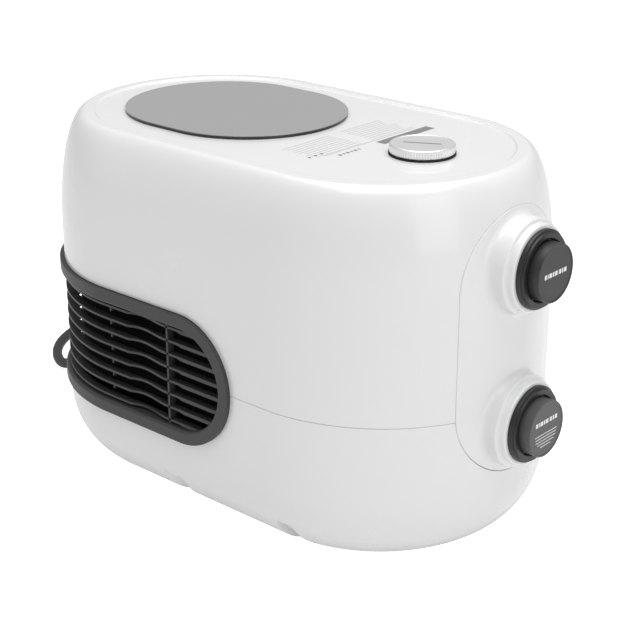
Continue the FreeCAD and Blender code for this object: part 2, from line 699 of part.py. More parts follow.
def fan():
    wide, low = "fan_radius + fan_tip_gap", "seam_height - fan_radius - 12"
    plate = box(("fan_x - fan_radius - 14", "fan_y", low),
                ("2 * fan_radius + 28", "3", "2 * fan_radius + 24"))
    ring = rod(("fan_x", "fan_y", "seam_height"), f"{wide} + 2", "24", "Y")
    opening = rod(("fan_x", "fan_y - 1", "seam_height"), wide, "30", "Y")
    bosses = [(x, z) for x in ("fan_x - fan_radius - 6", "fan_x + fan_radius + 6")
              for z in ("seam_height - fan_radius - 4", "seam_height + fan_radius + 4")]
    part("fan_shroud", cut(fuse(plate, ring), opening))
    hub = rod(("fan_x", "fan_y + 5", "seam_height"), "hub_radius", "18", "Y")
    bore = rod(("fan_x", "fan_y", "seam_height"), "shaft_radius + shaft_gap", "30", "Y")
    rim = rod(("fan_x", "fan_y", "seam_height"), "fan_radius", "40", "Y")
    part("fan_rotor", cut(fuse(hub, common(shaped("blades", blades()), rim)), bore))
    back = "fan_y + 29"
    part("fan_motor", fuse(
        rod(("fan_x", back, "seam_height"), "motor_radius", "motor_length", "Y"),
        rod(("fan_x", "fan_y + 8", "seam_height"), "shaft_radius", "24", "Y")))
    bar_y = f"{back} + motor_length"
    struts = [rod((x, "fan_y + 3", z), "3", f"{bar_y} - fan_y - 3", "Y") for x, z in bosses]
    bars = [box(("fan_x - fan_radius - 9", bar_y, f"{z} - 5"),
                ("2 * fan_radius + 18", "2", "10")) for z in
            ("seam_height - fan_radius - 4", "seam_height + fan_radius + 4")]
    spine = box(("fan_x - 12", bar_y, "seam_height - fan_radius - 9"),
                ("24", "2", "2 * fan_radius + 18"))
    part("motor_bracket", fuse(*struts, *bars, spine))


def blades():
    """The fan's blades, each a thin twisted vane that is part of the hub."""
    centre = Vector(size("fan_x"), size("fan_y") + 14, size("seam_height"))
    tip, root, count = size("fan_radius") + 5, size("hub_radius") - 2, int(size("blade_count"))
    vane = []
    for radius, chord, pitch in ((root, 24, 50), ((root + tip) / 2, 34, 34), (tip, 40, 24)):
        lean = math.radians(pitch)
        along = Vector(math.cos(lean), math.sin(lean), 0)
        across = Vector(-math.sin(lean), math.cos(lean), 0)
        middle = centre + Vector(0, 0, radius)
        corners = [middle + along * (u * chord / 2) + across * v
                   for u, v in ((-1, -0.8), (1, -0.8), (1, 0.8), (-1, 0.8))]
        vane.append(Part.makePolygon(corners + corners[:1]))
    first = Part.makeLoft(vane, True, True)
    keep = Part.makeCylinder(tip + 9, 22, centre - Vector(0, 11, 0), Vector(0, 1, 0))
    every = []
    for i in range(count):
        blade = first.copy()
        blade.rotate(centre, Vector(0, 1, 0), 360 * i / count)
        every.append(blade)
    return every[0].fuse(every[1:]).common(keep)


# Compressor and refrigerant circuit

def tube(name, points, radius, bend=0.45, capped=True):
    """A round tube of straight runs joined by tangent arcs, as one solid.

    Each arc's radius is a share of the shorter of its two runs. The radii are
    printed, and the volume is held against section times length.
    """
    corners = [Vector(*p) for p in points]
    edges, at, radii, length = [], corners[0], [], 0.0
    for before, corner, after in zip(corners, corners[1:], corners[2:]):
        a, b = (before - corner), (after - corner)
        half = (math.pi - a.getAngle(b)) / 2
        radius_here = bend * min(a.Length, b.Length) / math.tan(half)
        reach = radius_here * math.tan(half)
        a.normalize()
        b.normalize()
        start, end = corner + a * reach, corner + b * reach
        inward = a + b
        inward.normalize()
        centre = corner + inward * (radius_here / math.cos(half))
        edges.append(Part.makeLine(at, start))
        edges.append(Part.Arc(start, centre - inward * radius_here, end).toShape())
        length += (start - at).Length + radius_here * 2 * half
        radii.append(radius_here)
        at = end
    edges.append(Part.makeLine(at, corners[-1]))
    length += (corners[-1] - at).Length
    path = Part.Wire(edges)
    lead = corners[1] - corners[0]
    ring = Part.Wire(Part.makeCircle(radius, corners[0], lead))
    solid = path.makePipeShell([ring], True, False)
    solid = Part.Solid(solid) if solid.ShapeType == "Shell" else solid
    ratio = solid.Volume / (math.pi * radius ** 2 * length)
    print(f"{name}: length {length:.0f}, radii {[round(r) for r in radii]}, volume ratio {ratio:.4f}")
    return solid


def compressor():
    x, y, base = "compressor_x", "compressor_y", "(chassis_top + 12)"
    shell = turned("compressor_shell", (
        ("0", "0"), ("compressor_radius - 10", "0"), ("compressor_radius", "10"),
        ("compressor_radius", f"compressor_top - {base} - 14"),
        ("compressor_radius - 14", f"compressor_top - {base}"),
        ("0", f"compressor_top - {base}")), (x, y, base))
    plate = rod((x, y, f"{base} - 3"), "compressor_radius + 8", "3")
    spots = [(f"{x} + (compressor_radius + 0.5) * {math.cos(a):.6f}",
              f"{y} + (compressor_radius + 0.5) * {math.sin(a):.6f}")
             for a in (math.radians(t) for t in (90, 210, 330))]
    holes = [rod((px, py, "0"), "3.3", "60") for px, py in spots]
    part("compressor", cut(fuse(shell, plate), *[
        rod((px, py, f"{base} - 4"), "3.3", "20") for px, py in spots]))
    part("compressor_grommets", group(*[
        cut(rod((px, py, "chassis_top"), "7", f"{base} - 3 - chassis_top"), holes[i])
        for i, (px, py) in enumerate(spots)]))
    part("compressor_bolts", group(*[
        fuse(rod((px, py, "chassis_top"), "3", f"{base} + 3 - chassis_top"),
             rod((px, py, base), "5.5", "3")) for px, py in spots]))
    part("suction_accumulator", turned("accumulator", (
        ("0", "0"), ("10", "0"), ("16", "6"), ("16", "104"), ("10", "110"), ("0", "110")),
        ("14", "50", "60")))


def refrigerant():
    """The four-way valve, the expansion valve, the drier and the copper between them."""
    valve_x, valve_y, valve_z, stub = 35, 40, 240, 18
    floor_z, run_x = 48, -30
    part("reversing_valve", fuse(
        rod((valve_x - 30, valve_y, valve_z), "11", "60", "X"),
        rod((valve_x, valve_y, valve_z), "5", stub),
        *[rod((x, valve_y, valve_z - stub), "5", stub)
          for x in (valve_x - 20, valve_x, valve_x + 20)]))
    part("expansion_valve", rod((run_x, "-14", floor_z), "9", "28", "Y"))
    part("filter_drier", rod((run_x, "26", floor_z), "11", "36", "Y"))
    cx, cy, ctop = size("compressor_x"), size("compressor_y"), size("compressor_top")
    ex, ey, etop = size("exchanger_x"), size("exchanger_y"), size("exchanger_top")
    half_pitch = size("coil_pitch") / 2
    end_x, end_y = size("coil_right") + 6, size("coil_mid_y")
    high = size("coil_low") + size("coil_height") - half_pitch
    low = size("coil_low") + half_pitch
    over, under = valve_z + stub, valve_z - stub
    routes = {
        "discharge": ((cx, cy, ctop), (cx, cy, over + 14), (valve_x, valve_y, over + 14),
                      (valve_x, valve_y, over)),
        "suction": ((valve_x, valve_y, under), (valve_x, valve_y, under - 26),
                    (14, 50, under - 26), (14, 50, 170)),
        "coil_gas": ((valve_x - 20, valve_y, under), (valve_x - 20, valve_y, under - 13),
                     (6, 12, under - 13), (6, -60, under - 13), (6, end_y, under - 17),
                     (6, end_y, high), (end_x, end_y, high)),
        "exchanger_gas": ((valve_x + 20, valve_y, under), (valve_x + 20, valve_y, under - 11),
                          (ex - 12, ey - 14, etop + 11), (ex - 12, ey - 14, etop)),
        "coil_liquid": ((end_x, end_y, low), (8, end_y, low), (8, end_y, floor_z),
                        (run_x, end_y, floor_z), (run_x, -14, floor_z)),
        "middle_liquid": ((run_x, 14, floor_z), (run_x, 26, floor_z)),
        "exchanger_liquid": ((run_x, 62, floor_z), (run_x, ey, floor_z),
                             (ex - size("exchanger_radius"), ey, floor_z)),
    }
    part("refrigerant_pipes", group(*[
        shaped(name, tube(name, points, size("coil_tube"))) for name, points in routes.items()]))


# Water circuit

def water_circuit():
    at = ("exchanger_x", "exchanger_y", "exchanger_low")
    tall = "exchanger_top - exchanger_low"
    part("heat_exchanger", turned("exchanger", (
        ("0", "0"), ("exchanger_radius - 8", "0"), ("exchanger_radius", "8"),
        ("exchanger_radius", f"{tall} - 8"), ("exchanger_radius - 8", tall), ("0", tall)), at))
    stand = "exchanger_low - chassis_top"
    part("exchanger_stand", turned("stand", (
        ("exchanger_radius - 14", f"-({stand})"), ("exchanger_radius - 9", f"-({stand})"),
        ("exchanger_radius - 9", f"2 - ({stand})"), ("exchanger_radius - 12", f"2 - ({stand})"),
        ("exchanger_radius - 12", "0"), ("exchanger_radius - 14", "0")), at))
    pump = ("pump_x", "0", "pump_z")
    inner = "pump_radius - pump_wall"
    housing = turned("housing", (
        ("shaft_radius + shaft_gap", "0"), ("pump_radius", "0"), ("pump_radius", "pump_height"),
        ("10", "pump_height"), ("10", "pump_height + 13"), ("7", "pump_height + 13"),
        ("7", "pump_height - pump_wall"), (inner, "pump_height - pump_wall"),
        (inner, "pump_wall"), ("shaft_radius + shaft_gap", "pump_wall")), pump)
    middle = "pump_z + pump_height / 2"
    outlet = cut(rod(("pump_x", f"{inner}", middle), "9", "15", "Y"),
                 rod(("pump_x", "0", middle), inner, "40"))
    part("pump_housing", cut(fuse(housing, outlet), rod(("pump_x", "10", middle), "6.5", "60", "Y")))
    part("pump_motor", turned("pump_drive", (
        ("0", "chassis_top - pump_z"), ("pump_radius - 8", "chassis_top - pump_z"),
        ("pump_radius - 5", "chassis_top - pump_z + 3"), ("pump_radius - 5", "0"),
        ("shaft_radius", "0"), ("shaft_radius", "pump_height - pump_wall - 4"),
        ("0", "pump_height - pump_wall - 4")), pump))
    disc = turned("disc", (
        ("shaft_radius + shaft_gap", "pump_wall + 1"), (f"{inner} - 2", "pump_wall + 1"),
        (f"{inner} - 2", "pump_wall + 4"), ("shaft_radius + 3", "pump_wall + 4"),
        ("shaft_radius + 3", "pump_height - pump_wall - 5"),
        ("shaft_radius + shaft_gap", "pump_height - pump_wall - 5")), pump)
    vanes = shaped("vanes", impeller_vanes())
    part("pump_impeller", fuse(disc, vanes))
    hoses()


def impeller_vanes():
    """Six straight vanes that lean back on the impeller's disc."""
    middle = Vector(size("pump_x"), 0, size("pump_z") + size("pump_wall") + 3)
    reach = size("pump_radius") - size("pump_wall") - 3
    inner = size("shaft_radius") + 1.5
    every = []
    for i in range(6):
        vane = Part.makeBox(reach - inner, 2, 11, middle + Vector(inner, -1, 0))
        vane.rotate(middle, Vector(0, 0, 1), 60 * i)
        every.append(vane)
    return every[0].fuse(every[1:])


def hoses():
    """Water hoses: inlet to pump, pump to exchanger, exchanger to filter well."""
    px, pz = size("pump_x"), size("pump_z") + size("pump_height") / 2
    neck = size("pump_z") + size("pump_height") + 13
    ex, ey, etop = size("exchanger_x"), size("exchanger_y"), size("exchanger_top")
    start = size("spigot_back") - 16
    low, wx, wr = size("port_low"), size("cap_x"), size("well_radius")
    outlet_y = size("pump_radius") - size("pump_wall") + 15
    over = etop + 30
    routes = (
        ("inlet_hose", ((start, 0, low), (px, 0, low), (px, 0, neck))),
        ("pump_hose", ((px, outlet_y, pz), (px, ey, pz), (ex + size("exchanger_radius"), ey, pz))),
        ("filter_hose", ((ex, ey, etop), (ex, ey, over), (wx, ey, over), (wx, wr, over))))
    part("water_hoses", group(*[shaped(name, tube(name, points, 8)) for name, points in routes]))
    part("hose_clamps", group(*[
        cut(rod(at, "9.6", "7", axis), rod(at, "8.02", "7", axis)) for at, axis in (
            (("pump_x", "0", f"{neck} + 2"), "Z"),
            (("pump_x", f"{outlet_y} + 2", f"{pz}"), "Y"),
            (("exchanger_x", "exchanger_y", "exchanger_top + 2"), "Z"))]))


# Electronics

def electronics():
    low = ("box_left", "-box_width / 2", "box_low")
    wall = "box_wall"
    tray = box(low, ("box_length", "box_width", "box_height"))
    hollow = box(tuple(f"{c} + {wall}" for c in low),
                 (f"box_length - 2 * {wall}", f"box_width - 2 * {wall}", "box_height"))
    part("electronics_box", cut(tray, hollow))
    part("electronics_lid", box((low[0], low[1], "box_low + box_height"),
                                ("box_length", "box_width", "2")))
    board_z = "box_low + 10"
    board = box((f"box_left + 8", "-box_width / 2 + 8", board_z),
                ("box_length - 16", "box_width - 16", "1.6"))
    posts = [rod((x, y, f"box_low + {wall}"), "3", f"10 - {wall}")
             for x in ("box_left + 14", "box_left + box_length - 14")
             for y in ("-box_width / 2 + 14", "box_width / 2 - 14")]
    chips = [box((f"box_left + {x}", y, f"{board_z} + 1.6"), (lx, ly, lz)) for x, y, lx, ly, lz in (
        (20, "-50", "24", "18", "14"), (52, "-48", "18", "16", "15"), (80, "-50", "30", "12", "10"),
        (24, "-16", "34", "30", "22"), (70, "-20", "14", "14", "3"), (96, "-20", "20", "36", "12"))]
    part("main_board", fuse(board, *posts, *chips))
    part("run_capacitor", rod(("box_left + 20", "36", f"{board_z} + 16"), "14", "60", "X"))


# Mains cord

# Points of the cord's middle line, chosen by hand: out of the gland, down to
# the floor, round the left of the casing and back behind it to the coil.
CORD_ROUTE = (
    (-274, 0, 32), (-285, -0.6, 31.2), (-297, -2.6, 26), (-309, -4.4, 18.6), (-321, -5, 12),
    (-334, -4, 7.4), (-348, 1.5, 5.6), (-363, 11, 5.2), (-378, 25, 5.2), (-391, 44, 5.2),
    (-401, 69, 5.2), (-407, 99, 5),
    (-404, 132, 5), (-393, 165, 5), (-374, 196, 5), (-346, 222, 5), (-311, 242, 5),
    (-272, 257, 5), (-230, 270, 5), (-187, 283.6, 5))
CORD_TAIL = ((-105, 291, 16.6), (-85.4, 291, 18))


def cord():
    """The cord's gland, its free run, its put-away coil, the coil's tie and the plug."""
    part("cord_gland", turned("gland", (
        ("0", "wall + 1"), ("cord_radius + 3", "wall + 1"), ("cord_radius + 3", "-2"),
        ("cord_radius + 7", "-2"), ("cord_radius + 7", "-6"), ("cord_radius + 4.5", "-8"),
        ("cord_radius + 1.5", "-gland_length"), ("0", "-gland_length")),
        ("gland_x - wall", "0", "gland_z"), "X"))
    part("power_cord", shaped("cord", tube("cord", CORD_ROUTE, size("cord_radius"))))
    part("cord_tail", shaped("tail", tube("tail", CORD_TAIL, size("cord_radius"))))
    x, y, wide = "coil_centre_x", "coil_centre_y", "cord_radius"
    outer, inner = f"coil_radius + 2 * {wide}", f"coil_radius - 2 * {wide}"
    strap = box((f"{x} - ({outer}) - 1.2", f"{y} - 4", "0"),
                (f"4 * {wide} + 2.4", "8", f"4 * {wide} + 2"))
    window = box((f"{x} - ({outer}) - 0.2", f"{y} - 5", "0.8"),
                 (f"4 * {wide} + 0.4", "10", f"4 * {wide} + 0.4"))
    part("cord_tie", cut(strap, window))
    part("cord_coil", cut(rod((x, y, "1"), outer, f"4 * {wide}"), rod((x, y, "0"), inner, f"5 * {wide}")))
    plug_body = turned("plug_body", (
        ("0", "0"), (f"{wide} + 1", "0"), (f"{wide} + 3", "20"), ("13", "24"), ("18", "34"),
        ("18", "56"), ("16.5", "58"), ("0", "58")), ("-85", "291", "18"), "X")
    pins = [rod(("-28", f"291 {sign} 9.5", "18"), "2.4", "19", "X") for sign in "-+"]
    part("power_plug", fuse(plug_body, *pins))


# Build, check and write

def main():
    outer, inner = casing()
    base_pieces()
    grille(outer, inner)
    port_panel(outer, inner)
    for name, height in (("outlet", "port_high"), ("inlet", "port_low")):
        port(name, height)
    filter_set()
    controls()
    coil()
    fan()
    compressor()
    refrigerant()
    water_circuit()
    electronics()
    cord()
    doc.recompute()
    check()
    os.makedirs("parts", exist_ok=True)
    for thing in PARTS:
        thing.Shape.exportStep(f"parts/{thing.Label}.step")


def check():
    for thing in doc.Objects:
        if any(word in state for state in thing.State for word in ("Invalid", "Error")):
            raise RuntimeError(f"{thing.Label} ({thing.Name}) failed: {thing.State}")
    for thing in PARTS:
        if thing.Shape.isNull() or not thing.Shape.isValid() or not thing.Shape.Solids:
            raise RuntimeError(f"{thing.Label} has no sound shape")


main()
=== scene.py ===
"""Compact swimming pool heat pump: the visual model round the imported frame.

Lengths are in metres. The origin is the middle of the footprint at floor
level, +X points to the two water ports, -Y to the long side that the camera
sees, and +Z is up. A place on the casing is a station (an axis and the
direction of the outward normal in plan) with a height and a distance out.
"""
from __future__ import annotations

import json
import logging
import math
from dataclasses import dataclass, field
from enum import Enum
from typing import Iterable, Sequence

import bmesh
import bpy
import numpy as np
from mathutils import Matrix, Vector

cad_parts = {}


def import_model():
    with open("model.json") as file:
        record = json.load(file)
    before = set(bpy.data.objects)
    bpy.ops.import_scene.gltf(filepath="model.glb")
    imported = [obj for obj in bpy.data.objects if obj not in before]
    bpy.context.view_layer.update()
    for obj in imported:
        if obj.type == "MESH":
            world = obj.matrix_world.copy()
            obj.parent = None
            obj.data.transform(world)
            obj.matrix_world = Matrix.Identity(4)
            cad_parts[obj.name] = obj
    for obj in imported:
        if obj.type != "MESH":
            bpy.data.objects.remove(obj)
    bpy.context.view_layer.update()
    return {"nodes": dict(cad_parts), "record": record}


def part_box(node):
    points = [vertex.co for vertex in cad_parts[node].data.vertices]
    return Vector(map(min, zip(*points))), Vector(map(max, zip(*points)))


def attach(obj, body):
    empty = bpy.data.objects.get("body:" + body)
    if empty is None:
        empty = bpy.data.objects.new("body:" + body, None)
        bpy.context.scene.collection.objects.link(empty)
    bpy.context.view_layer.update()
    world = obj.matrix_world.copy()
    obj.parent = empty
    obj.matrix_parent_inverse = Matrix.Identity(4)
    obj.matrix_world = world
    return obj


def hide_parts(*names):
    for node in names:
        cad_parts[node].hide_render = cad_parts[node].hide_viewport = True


log = logging.getLogger("heat_pump")

MM = 0.001
RIGHT_ANGLE = math.pi / 2
CAP_X = 119.2 * MM
GRILLE_AXIS = -14 * MM
Point = tuple[float, float, float]
Profile = Sequence[tuple[float, float]]


# Meshes from surfaces


def grid_faces(rows: int, columns: int, around: bool, across: bool) -> np.ndarray:
    """Corners of the quads of a grid of points.

    Args:
        rows: number of rows of points.
        columns: number of points in a row.
        around: True where each row closes on itself.
        across: True where each column closes on itself.

    Returns:
        One row of four point numbers for each quad.
    """
    below, right = (rows if across else rows - 1), (columns if around else columns - 1)
    i, j = np.meshgrid(np.arange(below), np.arange(right), indexing="ij")
    next_i, next_j = (i + 1) % rows, (j + 1) % columns
    row, next_row = i * columns, next_i * columns
    corners = (row + j, row + next_j, next_row + next_j, next_row + j)
    return np.stack([c.ravel() for c in corners], axis=1)


def capped(grid: np.ndarray, first: bool = True) -> np.ndarray:
    """A grid whose last column, and first if asked, is closed by a point in its middle."""
    ends = [np.broadcast_to(grid[:, k].mean(axis=0), grid[:, k].shape)[:, None] for k in (0, -1)]
    return np.concatenate(([ends[0]] if first else []) + [grid, ends[1]], axis=1)


def as_points(x: np.ndarray, y: np.ndarray, z: np.ndarray) -> np.ndarray:
    """Points from their coordinates, which are stretched to one shape."""
    return np.stack(np.broadcast_arrays(x, y, z), axis=-1)


def full_turn(steps: int) -> np.ndarray:
    """A row of evenly spaced turns round a circle, without its end."""
    return np.linspace(0, 2 * math.pi, steps, endpoint=False)[None, :]


@dataclass
class Surface:
    """Patches of surface that are welded into one mesh."""

    points: list[np.ndarray] = field(default_factory=list)
    faces: list[np.ndarray] = field(default_factory=list)
    count: int = 0

    def add(self, grid: np.ndarray, around: bool = False, across: bool = False) -> "Surface":
        """Adds a patch.

        Args:
            grid: points in rows and columns, an array of shape (rows, columns, 3).
            around: True where each row closes on itself.
            across: True where each column closes on itself.

        Returns:
            This surface, so that calls can be chained.
        """
        rows, columns = grid.shape[:2]
        self.points.append(grid.reshape(-1, 3))
        self.faces.append(grid_faces(rows, columns, around, across) + self.count)
        self.count += rows * columns
        return self

    def mirrored(self) -> "Surface":
        """Adds the mirror image of everything so far, across the plane y = 0."""
        points, faces = np.concatenate(self.points), np.concatenate(self.faces)
        self.points.append(points * np.array([1.0, -1.0, 1.0]))
        self.faces.append(faces[:, ::-1] + self.count)
        self.count *= 2
        return self

    def piece(self, name: str, sharp: float = 40.0) -> bpy.types.Object:
        """Makes the mesh, with its doubles merged and its faces pointing outwards.

        Args:
            name: name of the new object.
            sharp: edges that turn by more than this many degrees stay sharp.

        Returns:
            The new object, at the origin.
        """
        points, faces = np.concatenate(self.points), np.concatenate(self.faces)
        mesh = bpy.data.meshes.new(name)
        mesh.vertices.add(len(points))
        mesh.vertices.foreach_set("co", points.astype(np.float32).ravel())
        mesh.loops.add(faces.size)
        mesh.loops.foreach_set("vertex_index", faces.astype(np.int32).ravel())
        mesh.polygons.add(len(faces))
        mesh.polygons.foreach_set("loop_start", np.arange(0, faces.size, 4, dtype=np.int32))
        mesh.update(calc_edges=True)
        clean(mesh)
        thing = bpy.data.objects.new(name, mesh)
        bpy.context.scene.collection.objects.link(thing)
        return even(thing, sharp)


def clean(mesh: bpy.types.Mesh) -> None:
    """Merges a mesh's doubles, drops empty faces and turns all faces outwards."""
    work = bmesh.new()
    work.from_mesh(mesh)
    bmesh.ops.remove_doubles(work, verts=work.verts, dist=2e-6)
    bmesh.ops.dissolve_degenerate(work, edges=work.edges, dist=1e-7)
    bmesh.ops.recalc_face_normals(work, faces=work.faces)
    work.to_mesh(mesh)
    work.free()


def close_slits(thing: bpy.types.Object) -> bpy.types.Object:
    """Closes a piece's hairline slits, where two patches with different rows meet."""
    work = bmesh.new()
    work.from_mesh(thing.data)
    filled = bmesh.ops.holes_fill(work, edges=[e for e in work.edges if e.is_boundary], sides=0)
    bmesh.ops.triangulate(work, faces=filled["faces"])
    for face in work.faces:
        face.smooth = True
    bmesh.ops.recalc_face_normals(work, faces=work.faces)
    work.to_mesh(thing.data)
    work.free()
    return thing


def even(thing: bpy.types.Object, sharp: float) -> bpy.types.Object:
    """Smooths a piece's shading, apart from edges that turn by more than sharp degrees."""
    thing.data.shade_smooth()
    thing.data.set_sharp_from_angle(angle=math.radians(sharp))
    flat = thing.modifiers.new("even_shading", "WEIGHTED_NORMAL")
    flat.keep_sharp = True
    return thing


def drilled(thing: bpy.types.Object, tool: bpy.types.Object, sharp: float = 40.0
            ) -> bpy.types.Object:
    """Takes a tool's volume out of a piece.

    Args:
        thing: the piece.
        tool: a closed body, which is used up.
        sharp: edges that turn by more than this many degrees stay sharp.

    Returns:
        The piece.
    """
    thing.modifiers.clear()
    hole = thing.modifiers.new("hole", "BOOLEAN")
    hole.operation, hole.solver, hole.object = "DIFFERENCE", "EXACT", tool
    graph = bpy.context.evaluated_depsgraph_get()
    thing.data = bpy.data.meshes.new_from_object(thing.evaluated_get(graph))
    thing.modifiers.clear()
    bpy.data.objects.remove(tool)
    return even(thing, sharp)


def join(name: str, pieces: Sequence[bpy.types.Object]) -> bpy.types.Object:
    """Joins finished pieces into the first one and renames it."""
    first = pieces[0]
    with bpy.context.temp_override(active_object=first, selected_editable_objects=list(pieces)):
        bpy.ops.object.join()
    first.name = first.data.name = name
    return first


def turned(profile: Profile, centre: Point, along: str = "X", steps: int = 128) -> Surface:
    """A closed solid of revolution.

    The point at turn a is the centre, plus the profile's second value along
    the axis, plus its first value times (cos a, sin a) across it.

    Args:
        profile: (radius, place along the axis) pairs round the section, which
            closes on itself or else starts and ends on the axis.
        centre: the point that the profile is measured from.
        along: the axis, "X" or "Z".
        steps: points in one turn.

    Returns:
        The surface.
    """
    radius, height = as_columns(profile)
    turn = full_turn(steps)
    flat = [radius * np.cos(turn), radius * np.sin(turn)]
    axis = height + 0 * turn
    parts = [axis, *flat] if along == "X" else [*flat, axis]
    ring = min(radius[0, 0], radius[-1, 0]) > 0
    return Surface().add(as_points(*parts) + np.array(centre), around=True, across=ring)


def mm(*lengths: float | tuple[float, float]) -> np.ndarray:
    """Lengths, or pairs of them, that are given in millimetres."""
    return np.array(lengths) * MM


def as_columns(pairs: Profile) -> list[np.ndarray]:
    """The first and the second values of pairs, each as a column."""
    return [np.array(values)[:, None] for values in zip(*pairs)]


def rounded(corners: Profile, radius: float | Sequence[float], steps: int = 5
            ) -> list[tuple[float, float]]:
    """An outline with each corner replaced by a curve.

    Each corner becomes a quadratic curve that starts and ends one radius
    from it, so that long straight stretches stay as they are. A corner whose
    first value is 0 lies on an axis and stays.

    Args:
        corners: the outline's corners, in order.
        radius: the distance that is cut from both sides of a corner, or one for each.
        steps: points on each curve.

    Returns:
        The new outline's points.
    """
    places = np.array(corners, float)
    cuts = np.broadcast_to(np.array(radius, float), len(places))
    outline = []
    for k, here in enumerate(places):
        before, after = places[k - 1], places[(k + 1) % len(places)]
        if cuts[k] <= 0 or here[0] == 0:
            outline.append(tuple(here))
            continue
        start, end = (here + (other - here) * min(0.49, cuts[k] / np.linalg.norm(other - here))
                      for other in (before, after))
        share = np.linspace(0, 1, steps)[:, None]
        curve = (1 - share) ** 2 * start + 2 * share * (1 - share) * here + share ** 2 * end
        outline.extend(map(tuple, curve))
    return outline


# The casing's form


@dataclass(frozen=True)
class Form:
    """The casing's form, the same as the frame's, in metres."""

    radius: float = 140 * MM
    left: float = -103.6 * MM
    right: float = 78.4 * MM
    base: float = 2.5 * MM
    top: float = 317.5 * MM
    shoulder: tuple[float, float] = (25 * MM, 100 * MM)
    belly: tuple[float, float] = (55 * MM, 60 * MM)
    seam: float = 132.5 * MM
    wall: float = 3 * MM
    deck_inset: float = 34.5 * MM
    deck_drop: float = 1.5 * MM

    @classmethod
    def from_frame(cls) -> "Form":
        """The form, with its overall sizes taken from the frame's shells."""
        low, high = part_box("lower_shell")
        radius = (high.y - low.y) / 2
        return cls(radius=radius, left=low.x + radius, right=high.x - radius,
                   base=low.z, top=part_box("upper_shell")[1].z, seam=high.z)

    @property
    def end(self) -> float:
        """Right end of the casing."""
        return self.right + self.radius

    @property
    def straight_top(self) -> float:
        """Height where the shoulder starts."""
        return self.top - self.shoulder[1]

    @property
    def straight_low(self) -> float:
        """Height where the belly starts."""
        return self.base + self.belly[1]

    @property
    def deck(self) -> float:
        """Height of the deck."""
        return self.top - self.deck_drop

    def upper_level(self, height: np.ndarray | float) -> np.ndarray:
        """The level: 0 at the seam, 1 where the shoulder starts, 2 at the top edge."""
        straight = (np.asarray(height) - self.seam) / (self.straight_top - self.seam)
        rise = np.clip((np.asarray(height) - self.straight_top) / self.shoulder[1], 0, 1)
        return np.where(straight <= 1, straight, 1 + np.arcsin(rise) / RIGHT_ANGLE)

    def upper(self, level: np.ndarray, inset: np.ndarray | float) -> tuple[np.ndarray, np.ndarray]:
        """Radius and height on the upper wall.

        Up to level 1 the wall is straight; from 1 to 2 it is a quarter of an
        ellipse whose half axes are the shoulder's sizes less the inset.

        Args:
            level: the level, as upper_level gives it.
            inset: distance in from the outside.

        Returns:
            The radius and the height.
        """
        turn = np.clip(level - 1, 0, 1) * RIGHT_ANGLE
        wide, tall = self.shoulder[0] - inset, self.shoulder[1] - inset
        radius = self.radius - self.shoulder[0] + wide * np.cos(turn)
        straight = self.seam + np.minimum(level, 1) * (self.straight_top - self.seam)
        return radius, straight + tall * np.sin(turn)

    def lower(self, level: np.ndarray, inset: np.ndarray | float) -> tuple[np.ndarray, np.ndarray]:
        """Radius and height on the lower wall, level 0 at the seam, 2 at the underside."""
        turn = np.clip(level - 1, 0, 1) * RIGHT_ANGLE
        wide, tall = self.belly[0] - inset, self.belly[1] - inset
        radius = self.radius - self.belly[0] + wide * np.cos(turn)
        straight = self.seam - np.minimum(level, 1) * (self.seam - self.straight_low)
        return radius, straight - tall * np.sin(turn)

    def reach(self, height: np.ndarray) -> np.ndarray:
        """Radius of the outside at a height, above the belly."""
        rise = np.clip((height - self.straight_top) / self.shoulder[1], 0, 1)
        return self.radius - self.shoulder[0] * (1 - np.sqrt(1 - rise ** 2))

    def end_face(self, across: np.ndarray, height: np.ndarray) -> np.ndarray:
        """X of the right end's outside at a place across and up."""
        return self.right + np.sqrt(np.maximum(self.reach(height) ** 2 - across ** 2, 0))

    def band(self, run: np.ndarray, height: np.ndarray, out: np.ndarray) -> np.ndarray:
        """A place on the straight wall, unrolled.

        Args:
            run: distance along the wall, from 0 at the left axis towards the
                ports, and below 0 round the left end.
            height: height above the floor.
            out: distance out from the wall.

        Returns:
            The points, on the side that faces -Y.
        """
        turn = -RIGHT_ANGLE + np.minimum(run, 0) / self.radius
        radius = self.radius + out
        x = self.left + np.maximum(run, 0) + radius * np.cos(turn)
        return as_points(x, radius * np.sin(turn), height)


@dataclass(frozen=True)
class Stations:
    """Places along the front half of the plan: axis, direction and height of the edge."""

    axis: np.ndarray
    turn: np.ndarray
    edge: np.ndarray

    def points(self, radius: np.ndarray, height: np.ndarray) -> np.ndarray:
        """Points at a radius from each axis: axis + radius (cos, sin) of the direction."""
        x = self.axis + radius * np.cos(self.turn)
        return as_points(x, radius * np.sin(self.turn), height)


# (inset, distance from the edge) from the inside of a wall round its edge to the outside
EDGE = tuple((inset * MM, away * MM) for inset, away in (
    (3, 0.7), (3, 0), (0.7, 0), (0.25, 0.1), (0.06, 0.3), (0, 0.7)))


